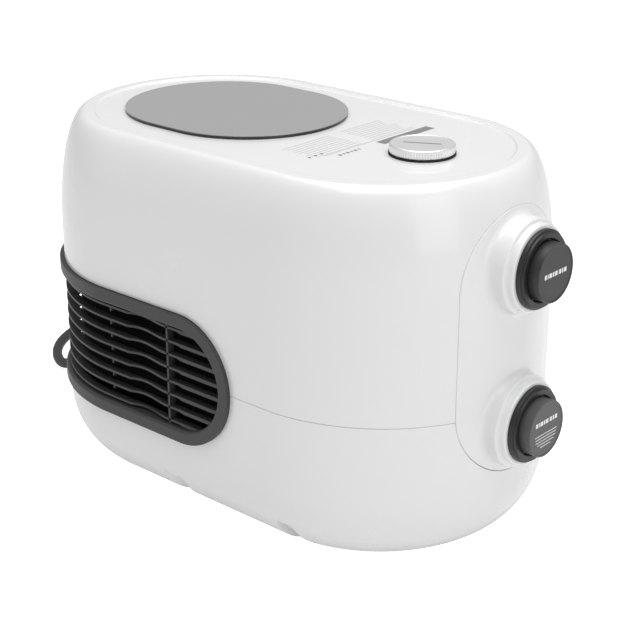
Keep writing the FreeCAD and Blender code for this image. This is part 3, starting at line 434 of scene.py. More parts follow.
@dataclass
class Casing:
    """The two white shells and the panel that carries the water ports."""

    form: Form
    seam_gap: float = 0.2 * MM
    grille_radius: float = 54.9 * MM
    grille_axis: float = GRILLE_AXIS
    panel_radius: float = 60.5 * MM
    panel_gap: float = 0.45 * MM
    panel_low: float = 137.5 * MM
    panel_high: float = 232 * MM
    channels: tuple[float, float] = (-34 * MM, 91 * MM)
    channel_width: float = 15 * MM
    channel_slope: float = 6 * MM
    channel_depth: float = 4.5 * MM
    channel_reach: float = 34 * MM
    boss: tuple[float, float] = (38 * MM, 8.2 * MM)
    step: tuple[float, float] = (34.6 * MM, 14.2 * MM)
    bore: float = 22.6 * MM
    fillet: float = 4.5 * MM
    neck_hole: float = 23.3 * MM
    deck_step: float = 2.4 * MM

    @property
    def panel_opening(self) -> float:
        """Radius of the shells' opening round the port panel."""
        return self.panel_radius + self.panel_gap

    def flats(self, upward: int) -> Stations:
        """Stations from the left end along the front to the panel's side.

        The edge follows the seam, and the grille's opening above or below it.

        Args:
            upward: 1 for the upper shell, -1 for the lower.

        Returns:
            The stations, up to the side of the port panel.
        """
        form, opening = self.form, self.grille_radius
        left_turn = np.linspace(-math.pi, -RIGHT_ANGLE, 49)
        run = np.linspace(form.left, self.grille_axis, 24)[1:]
        bow = np.linspace(0, RIGHT_ANGLE, 33)[1:]
        bow_x = self.grille_axis + opening * np.sin(bow)
        rest = np.linspace(bow_x[-1], form.right, 24)[1:]
        near = np.arccos(np.arange(0.5, 28, 0.5) * MM / form.radius) * -1
        far = np.linspace(near[-1], self.side_turn(upward), 25)[1:]
        right = np.concatenate([near, far])
        axis = np.concatenate([left_turn * 0 + form.left, run, bow_x, rest, right * 0 + form.right])
        straight = np.concatenate([run, bow_x, rest]) * 0 - RIGHT_ANGLE
        turn = np.concatenate([left_turn, straight, right])
        rise = np.concatenate([left_turn * 0 + opening, run * 0 + opening, opening * np.cos(bow),
                               rest * 0, right * 0])
        return Stations(axis, turn, form.seam + upward * np.maximum(rise, self.seam_gap / 2))

    def side_turn(self, upward: int) -> float:
        """Direction of the station at the side of the panel's opening."""
        opening = self.panel_opening + EDGE[-1][1]
        if upward > 0:
            return -math.asin(opening / float(self.form.reach(np.array(self.panel_high))))
        drop = self.panel_low - self.form.seam
        return -math.asin(math.sqrt(opening ** 2 - drop ** 2) / self.form.radius)

    def channel(self, x: np.ndarray, height: np.ndarray) -> np.ndarray:
        """Depth of the channels across the underside at x, fading out up the side."""
        depth = np.zeros(np.broadcast(x, height).shape)
        fade = np.clip((self.channel_reach - height) / (3 * MM), 0, 1)
        for middle in self.channels:
            inside = x - (middle - self.channel_width / 2)
            up = np.clip(inside / (0.5 * MM), 0, 1)
            slope = self.channel_slope * np.clip(1 - height / self.channel_reach, 0.05, 1)
            down = np.clip((self.channel_width + slope - inside) / slope, 0, 1)
            depth = np.maximum(depth, self.channel_depth * up * down * fade)
        return depth

    def upper_shell(self) -> bpy.types.Object:
        """The upper shell: wall, shoulder, rim and deck, inside and out."""
        form, half = self.form, Surface()
        flats = self.flats(1)
        level_high = float(form.upper_level(self.panel_high))
        edge_level = form.upper_level(flats.edge + EDGE[0][1])
        share = np.linspace(0, 1, 20)[:, None]
        shoulder = np.linspace(0, 1, 40)[:, None]
        for inset in (0.0, form.wall):
            wall = edge_level + share * (level_high - edge_level)
            if inset == 0.0:
                rim_rows = [form.upper_level(flats.edge + away) for _, away in EDGE]
                start = rim_rows[-1]
                wall = np.concatenate([rim_rows, (start + share * (level_high - start))[1:]])
                insets = np.concatenate([[i for i, _ in EDGE], share[1:, 0] * 0])[:, None]
            else:
                insets = share * 0 + inset
            half.add(flats.points(*form.upper(wall, insets)))
            above = level_high + shoulder * (2 - level_high) + 0 * flats.edge
            half.add(flats.points(*form.upper(above, inset)))
            self.top(half, flats, inset)
            self.over_panel(half, inset, shoulder)
        self.panel_side(half, level_high, share)
        shell = close_slits(half.mirrored().piece("upper_casing"))
        neck = ((0, -8 * MM), (self.neck_hole, -8 * MM), (self.neck_hole, 4 * MM), (0, 4 * MM))
        return drilled(shell, turned(neck, (CAP_X, 0.0, form.deck), along="Z").piece("neck"))

    def over_panel(self, half: Surface, inset: float, shoulder: np.ndarray) -> None:
        """The wall over the port panel, whose edge is an arc round the panel's upper end."""
        form = self.form
        around = -np.linspace(RIGHT_ANGLE, 0, 40)
        opening = self.panel_opening
        rows = EDGE if inset == 0.0 else EDGE[:1]
        grid = []
        for depth, away in rows:
            y, z = (opening + away) * np.sin(around), (opening + away) * np.cos(around)
            z = z + self.panel_high
            turn = np.arcsin(y / form.reach(z))
            grid.append((form.upper_level(z), turn, depth + 0 * z))
        last_level, last_turn, _ = grid[-1]
        for step in shoulder[1:, 0]:
            grid.append((last_level + step * (2 - last_level), last_turn, inset + 0 * last_turn))
        level, turn, depth = (np.stack(column) for column in zip(*grid))
        stations = Stations(form.right + 0 * turn, turn, level)
        half.add(stations.points(*form.upper(level, depth)))
        self.top(half, Stations(form.right + 0 * last_turn, last_turn, last_level), inset)

    def panel_side(self, half: Surface, level_high: float, share: np.ndarray) -> None:
        """The upright side of the port panel's opening, from the seam upwards."""
        form = self.form
        opening = self.panel_opening
        low = float(form.upper_level(form.seam + self.seam_gap / 2))
        level = low + share * (level_high - low)
        depth, away = (column.T for column in as_columns(EDGE))
        _, height = form.upper(level, 0.0)
        turn = -np.arcsin((opening + away) / form.reach(height))
        stations = Stations(form.right + 0 * turn, turn, level + 0 * turn)
        half.add(stations.points(*form.upper(level + 0 * depth, depth + 0 * level)))

    def top(self, half: Surface, stations: Stations, inset: float) -> None:
        """The rim round the deck and the deck itself.

        The rim steps down to the deck in half a cosine wave. The deck is made
        of slices across, from each station's point to the plane y = 0.
        """
        form = self.form
        rim, deck = form.radius - form.shoulder[0], form.radius - form.deck_inset
        share = np.linspace(0, 1, 9)[:, None]
        fall = form.deck_drop * (0.5 - 0.5 * np.cos(share * math.pi))
        step = deck + self.deck_step * (1 - share)
        radius = np.concatenate([rim + share * (step[0] - rim), step[1:]])
        drop = np.concatenate([share * 0, fall[1:]])
        height = form.top - drop if inset == 0.0 else form.top - inset + 0 * drop
        wide = stations.axis * 0
        half.add(stations.points(radius + wide, height + wide))
        edge = stations.points((deck + wide)[None, :], (height[-1, 0] + wide)[None, :])[0]
        across = np.linspace(1, 0, 12)[:, None, None]
        half.add(edge[None] * np.array([1, 0, 1]) + across * edge[None] * np.array([0, 1, 0]))

    def lower_shell(self) -> bpy.types.Object:
        """The lower shell: wall, belly and underside with its two channels."""
        form, half = self.form, Surface()
        flats = self.flats(-1)
        span = form.seam - form.straight_low
        opening = self.panel_opening
        far = math.acos((self.panel_low - form.seam + self.seam_gap / 2) / opening)
        around = -np.linspace(far, 0, 40)[1:]
        share = np.linspace(0, 1, 12)[1:, None]
        belly = np.linspace(0, 1, 33)[1:, None]
        for inset in (0.0, form.wall):
            rows = EDGE if inset == 0.0 else EDGE[:1]
            heights, turns, insets = [], [], []
            for depth, away in rows:
                y = (opening + away) * np.sin(around)
                z = self.panel_low - (opening + away) * np.cos(around)
                heights.append(np.concatenate([flats.edge - away, z]))
                turns.append(np.concatenate([flats.turn, np.arcsin(y / form.radius)]))
                insets.append(depth)
            start, turn = (form.seam - heights[-1]) / span, turns[-1]
            levels = [(form.seam - h) / span for h in heights]
            levels += list(start + share * (1 - start)) + list(1 + belly + 0 * start)
            turns += [turn] * (len(share) + len(belly))
            insets += [inset] * (len(share) + len(belly))
            level, turn = np.stack(levels), np.stack(turns)
            axis = np.concatenate([flats.axis, around * 0 + form.right])[None, :] + 0 * turn
            stations = Stations(axis, turn, level)
            depth = np.array(insets)[:, None] + 0 * level
            radius, height = form.lower(level, depth)
            depth = depth + self.channel(axis + radius * np.cos(turn), height)
            half.add(stations.points(*form.lower(level, depth)))
            self.underside(half, Stations(axis[-1], turn[-1], level[-1]), inset)
        return half.mirrored().piece("lower_casing")

    def underside(self, half: Surface, stations: Stations, inset: float) -> None:
        """The flat underside in slices across, with the channels let into it."""
        form = self.form
        edge = stations.points(form.radius - form.belly[0] + 0 * stations.axis, 0 * stations.axis)
        across = np.linspace(1, 0, 12)[:, None]
        x = edge[None, :, 0] + 0 * across
        height = form.base + inset + self.channel(x, form.base + inset + 0 * x)
        half.add(as_points(x, across * edge[None, :, 1], height))

    def port_panel(self, ports: Sequence[float]) -> bpy.types.Object:
        """The panel with its two bosses.

        The panel is a stack of rings that shrink to the line between the
        centres of its round ends, each carried out to the casing's end face.

        Args:
            ports: heights of the ports' axes.

        Returns:
            The finished piece.
        """
        panel = Surface()
        inner = np.linspace(0, 0.985, 24) * self.panel_radius
        rings = [(self.form.wall, r) for r in inner]
        rings += [(depth, self.panel_radius - away) for depth, away in EDGE]
        rings += [(0.0, r) for r in inner[::-1]]
        depth, radius = as_columns(rings)
        turn = np.linspace(0, math.pi, 49)[None, :]
        side = np.linspace(1, 0, 25)[1:-1][None, :]
        middle = (self.panel_high + self.panel_low) / 2
        reach = self.panel_high - middle
        wide = radius * np.concatenate(
            [np.cos(turn), side * 0 - 1, -np.cos(turn), side * 0 + 1], axis=1)
        tall = np.concatenate([
            reach + radius * np.sin(turn), (2 * side - 1) * reach + 0 * radius,
            -reach - radius * np.sin(turn), (1 - 2 * side) * reach + 0 * radius], axis=1)
        y, z = wide, middle + tall
        panel.add(as_points(self.form.end_face(y, z) - depth, y, z), around=True)
        pieces = [panel.piece("ports_panel")]
        pieces += [self.boss_surface(height).piece("boss") for height in ports]
        return join("ports_panel", pieces)

    def boss_surface(self, height: float) -> Surface:
        """A two-step boss round a port, whose foot flares out into the panel.

        The foot's rows are a quarter of a circle that starts on the boss's
        wall and ends flat on the panel: at turn b the radius grows by
        f (1 - cos b) and the height over the panel is f (1 - sin b).
        """
        form, fillet = self.form, self.fillet
        turn = full_turn(144)
        foot = np.linspace(RIGHT_ANGLE, 0, 9)[:, None]
        spread = self.boss[0] + fillet * (1 - np.cos(foot))
        y, z = spread * np.cos(turn), height + spread * np.sin(turn)
        base = form.end_face(y, z) + fillet * (1 - np.sin(foot)) - 0.03 * MM
        profile = rounded(
            ((self.boss[0], 4.6 * MM), (self.boss[0], self.boss[1]), (self.step[0], self.boss[1]),
             (self.step[0], self.step[1]), (self.bore, self.step[1]), (self.bore, -form.wall)),
            mm(0, 2.4, 1.4, 1.6, 0.3, 0))
        radius, out = as_columns(profile)
        outer = as_points(form.end + out, radius * np.cos(turn), height + radius * np.sin(turn))
        grid = np.concatenate([as_points(base, y, z), outer])
        return Surface().add(grid, around=True, across=True)


# The air grille


@dataclass
class Grille:
    """The dark frame round the left end, its slats and ribs, and a near-black screen behind them
    that paints the shade inside the casing.
    """

    form: Form
    half_height: float = 56.2 * MM
    drop: float = 1.5 * MM
    axis: float = GRILLE_AXIS
    band: float = 11.5 * MM
    proud: float = 4 * MM
    depth: float = 8 * MM
    lip: float = 3 * MM
    pitch: float = 11.85 * MM
    count: int = 8
    thick: float = 2 * MM
    slat_depth: float = 7 * MM
    flare_x: float = -16 * MM
    flare: float = 1.1 * MM
    rib_x: float = -29 * MM
    back_rib_x: float = -100 * MM
    back_rib_set: float = 2.5 * MM
    back_rib_drop: float = 5.5 * MM
    scoop_x: float = -76 * MM
    scoop_depth: float = 3.8 * MM
    screen_set: float = 13.5 * MM

    @property
    def middle(self) -> float:
        """Height of the grille's middle."""
        return self.form.seam - self.drop

    @property
    def opening(self) -> float:
        """Half the height of the frame's opening."""
        return self.half_height - self.band

    @property
    def far_left(self) -> float:
        """The run where the casing's two sides meet, round the left end."""
        return -RIGHT_ANGLE * self.form.radius

    def run(self, x: float) -> float:
        """Distance along the unrolled wall of a place on the straight side."""
        return x - self.form.left

    def frame(self) -> bpy.types.Object:
        """The frame: one closed section carried along the grille's outline.

        The outline runs from the left end along the bottom, round half a
        circle and back along the top. A section's place is given by its
        distance in from the outline and its distance out from the wall.
        """
        form, band = self.form, self.band
        end = self.run(self.axis)
        straight = np.concatenate([np.linspace(self.far_left, 0, 65),
                                   np.linspace(0, end, 25)[1:-1]])
        bow = np.linspace(-RIGHT_ANGLE, RIGHT_ANGLE, 73)
        run = np.concatenate([straight, bow * 0 + end, straight[::-1]])[None, :]
        out_run = np.concatenate([straight * 0, np.cos(bow), straight * 0])[None, :]
        out_rise = np.concatenate([straight * 0 - 1, np.sin(bow), straight * 0 + 1])[None, :]
        section = rounded(
            ((0, 0), (0, self.proud), (band - 1.6 * MM, self.proud), (band, self.proud - 1.9 * MM),
             (band, -self.depth), (self.lip, -self.depth), (self.lip, 0)),
            mm(0, 2, 1.4, 0.8, 0, 0, 0), 7)
        inward, out = as_columns(section)
        reach = self.half_height - inward
        grid = form.band(run + out_run * reach, self.middle + out_rise * reach, out + 0 * run)
        return Surface().add(grid, across=True).mirrored().piece("grille_surround", 35)

    def scoop(self, run: np.ndarray) -> np.ndarray:
        """Depth of the finger scoop: a sharp start, then one soft curve out to the rib.

        At share t of the way it is the depth times 27/4 t (1 - t) squared.
        """
        far = self.rib_x - self.thick
        share = np.clip((run + self.form.left - self.scoop_x) / (far - self.scoop_x), 0, 1)
        return self.scoop_depth * 6.75 * share * (1 - share) ** 2

    def slat(self, offset: float) -> np.ndarray:
        """One slat: a rounded strip carried along the wall, let in where the scoop is.

        Its front edge reaches further down between the rib and the frame.

        Args:
            offset: height of the slat over the grille's middle.

        Returns:
            The grid of its front half, from the left end to the frame.
        """
        stop = self.run(self.axis) + math.sqrt(self.opening ** 2 - offset ** 2) + 1.5 * MM
        fine = np.linspace(self.run(self.scoop_x) - 3 * MM, self.run(self.rib_x) + 3 * MM, 56)
        run = np.concatenate([np.linspace(self.far_left, 0, 65)[:-1],
                              np.linspace(0, fine[0], 6)[:-1], fine,
                              np.linspace(fine[-1], stop, 14)[1:]])[None, :]
        half, back = self.thick / 2, -self.slat_depth
        section = rounded(((back, -half * 0.7), (0, -half), (0, half), (back, half * 0.7)),
                          mm(0, 0.7, 0.7, 0), 4)
        out, rise = as_columns(section)
        front = np.clip(1 + out / self.slat_depth, 0, 1)
        flare = self.flare * np.clip((run - self.run(self.flare_x)) / (2 * MM), 0, 1) * front
        rise = rise - flare * (rise < 0)
        return self.form.band(run + 0 * out, self.middle + offset + rise,
                              out - self.scoop(run) * front)

    def louvres(self) -> bpy.types.Object:
        """All slats, the ribs that join them and the set-back ribs."""
        half = Surface()
        offsets = (np.arange(self.count) - (self.count - 1) / 2) * self.pitch
        for offset in offsets:
            half.add(capped(self.slat(float(offset)), first=False), across=True)
        thing = half.mirrored().piece("grille_slats", 40)
        reach = self.opening + 1 * MM
        ribs = [self.rib(self.run(self.rib_x), 0.0, -reach, reach)]
        for offset in offsets:
            for run in (self.run(self.back_rib_x), self.far_left):
                ribs.append(self.rib(run, self.back_rib_set, offset - self.back_rib_drop, offset))
        return join("grille_slats", [thing, *ribs])

    def rib(self, run: float, set_back: float, low: float, high: float) -> bpy.types.Object:
        """An upright rib at the slats, on both sides of the casing.

        Args:
            run: its place along the unrolled wall.
            set_back: how far it stands behind the slats' fronts.
            low: height of its lower end over the grille's middle.
            high: height of its upper end over the grille's middle.

        Returns:
            The rib and its mirror image, as one piece.
        """
        half = self.thick / 2
        section = rounded(((-self.slat_depth, -half), (-set_back, -half), (-set_back, half),
                           (-self.slat_depth, half)), mm(0, 0.6, 0.6, 0), 4)
        out, side = as_columns(section)
        height = self.middle + np.linspace(low, high, 24)[None, :]
        grid = self.form.band(run + side + 0 * height, height + 0 * side, out + 0 * height)
        return Surface().add(capped(grid), across=True).mirrored().piece("rib", 40)

    def screen(self) -> bpy.types.Object:
        """A near-black band round the inside of the wall behind the slats: painted shade, standing
        in for the dark inside of the casing.
        """
        run = np.linspace(self.far_left, self.run(self.axis) + self.half_height, 120)[None, :]
        reach = self.half_height + 2 * MM
        section = ((-self.screen_set, -reach), (-self.screen_set, reach),
                   (-self.screen_set - 1 * MM, reach), (-self.screen_set - 1 * MM, -reach))
        out, rise = as_columns(section)
        grid = self.form.band(run + 0 * out, self.middle + rise + 0 * run, out + 0 * run)
        return Surface().add(capped(grid, first=False), across=True).mirrored().piece("painted_shade_screen")


# Water ports


@dataclass
class WaterPort:
    """The collar and stopper of one water port."""

    name: str
    form: Form
    height: float
    face_lines: int
    seat: float = 14.2 * MM
    collar_radius: float = 31.4 * MM
    flange: float = 3.6 * MM
    lip_radius: float = 29.6 * MM
    lip: float = 2.4 * MM
    head: float = 23.3 * MM
    reach: float = 29.2 * MM
    gap: float = 0.6 * MM
    stem: float = 19.6 * MM

    @property
    def centre(self) -> Point:
        """Centre of the face that the collar sits on."""
        return (self.form.end + self.seat, 0.0, self.height)

    def collar(self) -> bpy.types.Object:
        """The black collar: a wide flange and a smaller lip in front of it."""
        bore = self.head + self.gap
        deep = self.flange + self.lip
        profile = rounded(
            ((bore, 0), (self.collar_radius, 0), (self.collar_radius, self.flange),
             (self.lip_radius, self.flange + 0.2 * MM), (self.lip_radius, deep),
             (bore + 1.2 * MM, deep), (bore, deep - 1.4 * MM)),
            mm(0, 0.4, 1.1, 0.5, 0.9, 0.6, 0.4))
        return turned(profile, self.centre).piece(f"{self.name}_ring", 50)

    def stopper(self) -> bpy.types.Object:
        """The stopper: stem, seal groove, head, a light rim and a slightly sunk face."""
        head = self.reach - self.seat
        profile = rounded(
            ((0, -32 * MM), (self.stem, -32 * MM), (self.stem, -17 * MM),
             (18 * MM, -17 * MM), (18 * MM, -14 * MM), (self.stem, -14 * MM), (self.stem, 0.5 * MM),
             (self.head - 0.3 * MM, 0.5 * MM), (self.head, head), (self.head - 1.5 * MM, head),
             (self.head - 1.9 * MM, head - 0.5 * MM), (0, head - 0.5 * MM)),
            mm(0, 0.8, 0, 0, 0, 0, 0, 0.5, 0.6, 0.3, 0.2, 0))
        return turned(profile, self.centre).piece(f"{self.name}_stopper", 50)

    def marks(self) -> bpy.types.Object:
        """Plain printed bars on the stopper's face, in place of its lettering."""
        x = self.form.end + self.reach - 0.45 * MM
        rise = 6.6 * MM if self.face_lines else 0.0
        bars = [bar_row((x, 0.0, self.height + rise), 30 * MM, 3.6 * MM, 9)]
        for line, width in enumerate(mm(30, 28, 27, 22, 14)[:self.face_lines]):
            drop = (3.4 + 2.6 * line) * MM
            bars.append(bar_row((x, 0.0, self.height - drop), width, 0.6 * MM, 1))
        return join(f"{self.name}_marks", bars)


def bar_row(centre: Point, width: float, tall: float, count: int) -> bpy.types.Object:
    """A row of thin raised bars on a face that looks along +X.

    Args:
        centre: middle of the row.
        width: width of the whole row.
        tall: height of the bars.
        count: number of bars, which differ a little in width.

    Returns:
        The row as one piece.
    """
    share = np.array([1.0, 0.6, 1.25, 0.8, 1.1, 0.35, 1.0, 0.75, 1.15][:count])
    edges = np.concatenate([[0], np.cumsum(share)]) / share.sum() * width - width / 2
    gap = 0.0 if count == 1 else 0.16 * width / count
    row = Surface()
    for low, high in zip(edges[:-1] + gap, edges[1:] - gap):
        middle = (centre[0], centre[1] + (low + high) / 2, centre[2])
        row.add(plate(middle, (0, (high - low) / 2, 0), (0, 0, tall / 2), (0.05 * MM, 0, 0)))
    return row.piece("bars")


def plate(centre: Point, half_wide: Point, half_long: Point, thick: Point) -> np.ndarray:
    """A thin rectangular plate, as a grid whose first and last rows close it.

    A corner is the centre, plus or minus the first two vectors, and the third
    vector leads from its back to its front.
    """
    signs = np.array([(-1, -1), (1, -1), (1, 1), (-1, 1), (-1, -1)])
    sides = signs @ np.array([half_wide, half_long])
    layers = ((0, 0), (0, 1), (1, 1), (1, 0))
    return np.stack([np.array(centre) + share * sides + out * np.array(thick)
                     for out, share in layers])


# The deck


@dataclass
class Deck:
    """The control glass, the screw cap of the filter and the printed label."""

    form: Form
    glass_x: float = -82.5 * MM
    glass_length: float = 200 * MM
    glass_width: float = 168 * MM
    glass_thick: float = 0.9 * MM
    stand: float = 3.3 * MM
    carrier_inset: float = 0.5 * MM
    cap_radius: float = 26 * MM
    cap_height: float = 6.9 * MM
    gasket: float = 1.8 * MM
    neck: float = 20 * MM
    knurls: int = 72
    knurl_depth: float = 0.5 * MM
    mark_turn: float = 0.498

    def stadium(self, profile: Profile, height: float) -> Surface:
        """A flat body with round ends along X: the profile carried round a stadium."""
        half = (self.glass_length - self.glass_width) / 2
        radius, rise = as_columns(profile)
        turn = np.linspace(-RIGHT_ANGLE, RIGHT_ANGLE, 73)
        turn = np.concatenate([turn, turn + math.pi])[None, :]
        shift = np.concatenate([np.full(73, half), np.full(73, -half)])[None, :]
        x = self.glass_x + shift + radius * np.cos(turn)
        grid = as_points(x, radius * np.sin(turn), height + rise)
        return Surface().add(grid, around=True, across=profile[0][0] > 0)

    def glass(self) -> bpy.types.Object:
        """The control glass, with a polished edge."""
        radius, thick = self.glass_width / 2, self.glass_thick
        profile = rounded(((0, 0), (radius, 0), (radius, thick), (0, thick)),
                          mm(0, 0.2, 0.4, 0), 5)
        return self.stadium(profile, self.form.deck + self.stand - thick).piece("control_panel", 60)

    def carrier(self) -> bpy.types.Object:
        """The dark carrier that holds the glass over the deck."""
        radius, tall = self.glass_width / 2 - self.carrier_inset, self.stand - self.glass_thick
        profile = ((radius - 9 * MM, -5 * MM), (radius - 6.4 * MM, -5 * MM), (radius - 6.4 * MM, 0),
                   (radius, 0), (radius, tall), (radius - 9 * MM, tall))
        return self.stadium(profile, self.form.deck).piece("panel_carrier", 30)

    def cap(self) -> bpy.types.Object:
        """The screw cap.

        Its side has fine upright grooves: the radius drops by the knurl's
        depth times (0.5 - 0.5 cos n a) squared at turn a, for n grooves.
        """
        base = self.form.deck + self.gasket
        edge, top, deep = self.cap_radius, self.cap_height, -14 * MM
        sunk = top - 0.35 * MM
        profile = rounded(
            ((0, deep), (self.neck, deep), (self.neck, 0), (edge - 0.5 * MM, 0),
             (edge, 0.5 * MM), (edge, top - 0.9 * MM), (edge - 0.9 * MM, top),
             (edge - 2.4 * MM, top), (edge - 2.7 * MM, sunk), (0, sunk)),
            mm(0, 0, 0, 0.2, 0.3, 0.3, 0.4, 0.2, 0.2, 0), 4)
        radius, rise = as_columns(profile)
        turn = full_turn(self.knurls * 8)
        groove = self.knurl_depth * (0.5 - 0.5 * np.cos(self.knurls * turn)) ** 2
        side = (radius > edge - 0.3 * MM) & (rise > 0.4 * MM) & (rise < top - 0.7 * MM)
        radius = radius - np.where(side, groove, 0)
        grid = as_points(CAP_X + radius * np.cos(turn), radius * np.sin(turn), base + rise)
        return Surface().add(grid, around=True).piece("filter_screw_cap", 40)

    def cap_mark(self) -> bpy.types.Object:
        """A thin dark bar across the cap's face, in place of its lettering."""
        top = self.form.deck + self.gasket + self.cap_height - 0.33 * MM
        return slab_piece("cap_mark", (CAP_X, 0.0, top), 15 * MM, 0.7 * MM, self.mark_turn)

    def label(self) -> list[bpy.types.Object]:
        """The printed label: fine lines, a word's bars and a dark strip."""
        top = self.form.deck + 0.02 * MM

        def mark(name: str, x: float, y: float, wide: float, long: float, turn: float = 0.0
                 ) -> bpy.types.Object:
            """A printed rectangle: its middle and half sizes in millimetres, and its turn."""
            return slab_piece(name, (x * MM, y * MM, top), wide * MM, long * MM, turn)

        lines = []
        for row in range(9):
            x = 31 + 4.3 * row
            near, far = -66 + 2.0 * (row % 3), 57 - 2.5 * (row % 4)
            lines.append(mark("line", x, (near - 9) / 2, 0.3, -(near + 9) / 2))
            lines.append(mark("line", x - 1, (far + 6) / 2, 0.3, (far - 6) / 2))
        lines.append(mark("line", 67.5, 0, 0.35, 56))
        word = [mark("bar", 74.5, -46 + 4.6 * k, 1.6, (1.5, 0.8)[k % 2]) for k in range(6)]
        word += [mark("bar", 61.5, -67 + 7 * k, 1.3, 1.3, RIGHT_ANGLE / 2) for k in range(3)]
        strip = mark("label_strip", 76, 34, 4.6, 32.5)
        return [join("label_lines", lines), join("label_word", word), strip]


def slab_piece(name: str, centre: Point, half_x: float, half_y: float, turn: float,
               thick: float = 0.04 * MM) -> bpy.types.Object:
    """A very thin flat rectangle lying on a face that looks up.

    Args:
        name: name of the piece.
        centre: middle of its underside.
        half_x: half its size along its own X.
        half_y: half its size along its own Y.
        turn: how far it is turned about Z, in radians.
        thick: its thickness.

    Returns:
        The piece.
    """
    wide = (half_x * math.cos(turn), half_x * math.sin(turn), 0)
    long = (-half_y * math.sin(turn), half_y * math.cos(turn), 0)
    return Surface().add(plate(centre, wide, long, (0, 0, thick))).piece(name)


# The mains lead


@dataclass
class MainsLead:
    """The mains lead: strain relief, one cord with its coil, the tie and the plug."""

    diameter: float = 10 * MM
    exit: Point = (-0.274, 0.0, 0.032)
    coil_centre: tuple[float, float] = (-0.140, 0.231)
    coil_radii: tuple[float, float] = (0.060, 0.050)
    layers: tuple[float, float] = (0.006, 0.016)
    length: float = 1.97
    points_per_turn: int = 16
    coil_start: float = math.radians(100)

    # Points of the free run: out of the gland, down to the
    # floor, round the left of the casing and back behind it.
    ROUTE = (
        (-0.274, 0, 0.032), (-0.285, -0.0006, 0.0312), (-0.297, -0.0026, 0.026),
        (-0.309, -0.0044, 0.0186), (-0.321, -0.005, 0.012), (-0.334, -0.004, 0.0074),
        (-0.348, 0.0015, 0.0056), (-0.363, 0.011, 0.0052), (-0.378, 0.025, 0.0052),
        (-0.391, 0.044, 0.0052), (-0.401, 0.069, 0.0052), (-0.407, 0.099, 0.0052),
        (-0.404, 0.132, 0.0052), (-0.393, 0.165, 0.0052), (-0.374, 0.196, 0.0052),
        (-0.346, 0.222, 0.0052), (-0.311, 0.242, 0.0052), (-0.272, 0.257, 0.0052),
        (-0.230, 0.270, 0.0052), (-0.187, 0.2836, 0.0056))
    TAIL = ((-0.122, 0.2908, 0.0162), (-0.105, 0.291, 0.0166), (-0.0854, 0.291, 0.018))

    def coil(self) -> list[Point]:
        """The coil's points: clockwise, out to in on the floor, then in to out on top."""
        x, y = self.coil_centre
        wide, narrow = self.coil_radii
        turn, stride = self.coil_start, 2 * math.pi / self.points_per_turn
        points = []
        for start, end, height in ((wide, narrow, self.layers[0]), (narrow, wide, self.layers[1])):
            steps = 2 * self.points_per_turn - 1
            for k in range(steps + 1):
                share = k / steps
                radius = start + (end - start) * min(1, max(0, (share - 0.4) / 0.2))
                angle = turn - k * stride
                points.append((x + radius * math.cos(angle), y + radius * math.sin(angle), height))
            turn = angle - stride
        return points

    def cord(self) -> bpy.types.Object:
        """The whole lead as one smooth curve through its free run, coil and tail."""
        data = bpy.data.curves.new("mains_cord", "CURVE")
        data.dimensions = "3D"
        data.bevel_depth = self.diameter / 2
        data.bevel_resolution = 6
        data.resolution_u = 8
        data.use_fill_caps = True
        line = data.splines.new("NURBS")
        points = [*self.ROUTE, *self.coil(), *self.TAIL]
        line.points.add(len(points) - 1)
        for place, point in zip(line.points, points):
            place.co = (*point, 1.0)
        line.order_u = 3
        line.use_endpoint_u = True
        thing = bpy.data.objects.new("mains_cord", data)
        bpy.context.scene.collection.objects.link(thing)
        return thing

    def gland(self) -> bpy.types.Object:
        """The strain relief: a flange on the casing, then ribs that thin out along a taper."""
        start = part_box("cord_gland")[1].x
        ribs = [(0, 0), (3.2, 0), (3.2, -3), (7, -6), (7, -9.5), (5, -11.5)]
        for k in range(5):
            at, wide = -12.5 - 4 * k, 4.2 - 0.62 * k
            ribs += [(wide - 1.4, at), (wide, at - 0.6), (wide, at - 2.6), (wide - 1.5, at - 3.2)]
        ribs += [(0.3, -33.6), (0, -33.6)]
        profile = mm(*ribs)
        profile[1:-1, 0] += self.diameter / 2
        body = turned(rounded(profile, 0.35 * MM, 3), (start, *self.exit[1:]), steps=64)
        return body.piece("strain_relief", 50)

    def plug(self) -> bpy.types.Object:
        """The plug: a ribbed neck, a round body with a flat grip band and two pins."""
        centre = (-0.085, 0.291, 0.018)
        neck = mm((1, 0), (1.2, 4), (2.4, 5), (2.4, 8), (1.6, 9), (1.6, 12), (3.2, 13), (3.6, 19))
        grip = mm((13, 24), (17.8, 34), (17.8, 52), (16.8, 57.8), (0, 57.8))
        body = rounded(np.concatenate([[(0, 0)], neck + (self.diameter / 2, 0), grip]), 0.8 * MM, 4)
        pieces = [turned(body, centre, steps=64).piece("plug_body", 40)]
        pin = rounded(mm((0, 57), (2.4, 57), (2.4, 76), (0, 76)), mm(0, 0, 1.4, 0), 5)
        for side in (-9.5, 9.5):
            place = (centre[0], centre[1] + side * MM, centre[2])
            pieces.append(turned(pin, place, steps=32).piece("pin", 40))
        return join("mains_plug", pieces)

    def tie(self) -> bpy.types.Object:
        """The tie: a flat band in a rounded loop round the coil's turns."""
        x, y = self.coil_centre[0] - sum(self.coil_radii) / 2, self.coil_centre[1]
        loop = rounded(mm((-11, 0.4), (11, 0.4), (11, 21.6), (-11, 21.6)), 5 * MM, 9)
        across, rise = (column.T for column in as_columns(loop))
        middle = 11 * MM
        section = ((1.0, -3 * MM), (1.0, 3 * MM), (0.95, 3 * MM), (0.95, -3 * MM))
        share, side = as_columns(section)
        grid = as_points(x + share * across, y + side, middle + share * (rise - middle))
        return Surface().add(grid, around=True, across=True).piece("coil_tie", 40)


# Finishes


class Pattern(Enum):
    """How a finish varies over its surface."""

    MOULDED = "moulded"
    BRUSHED = "brushed"
    RINGS = "rings"


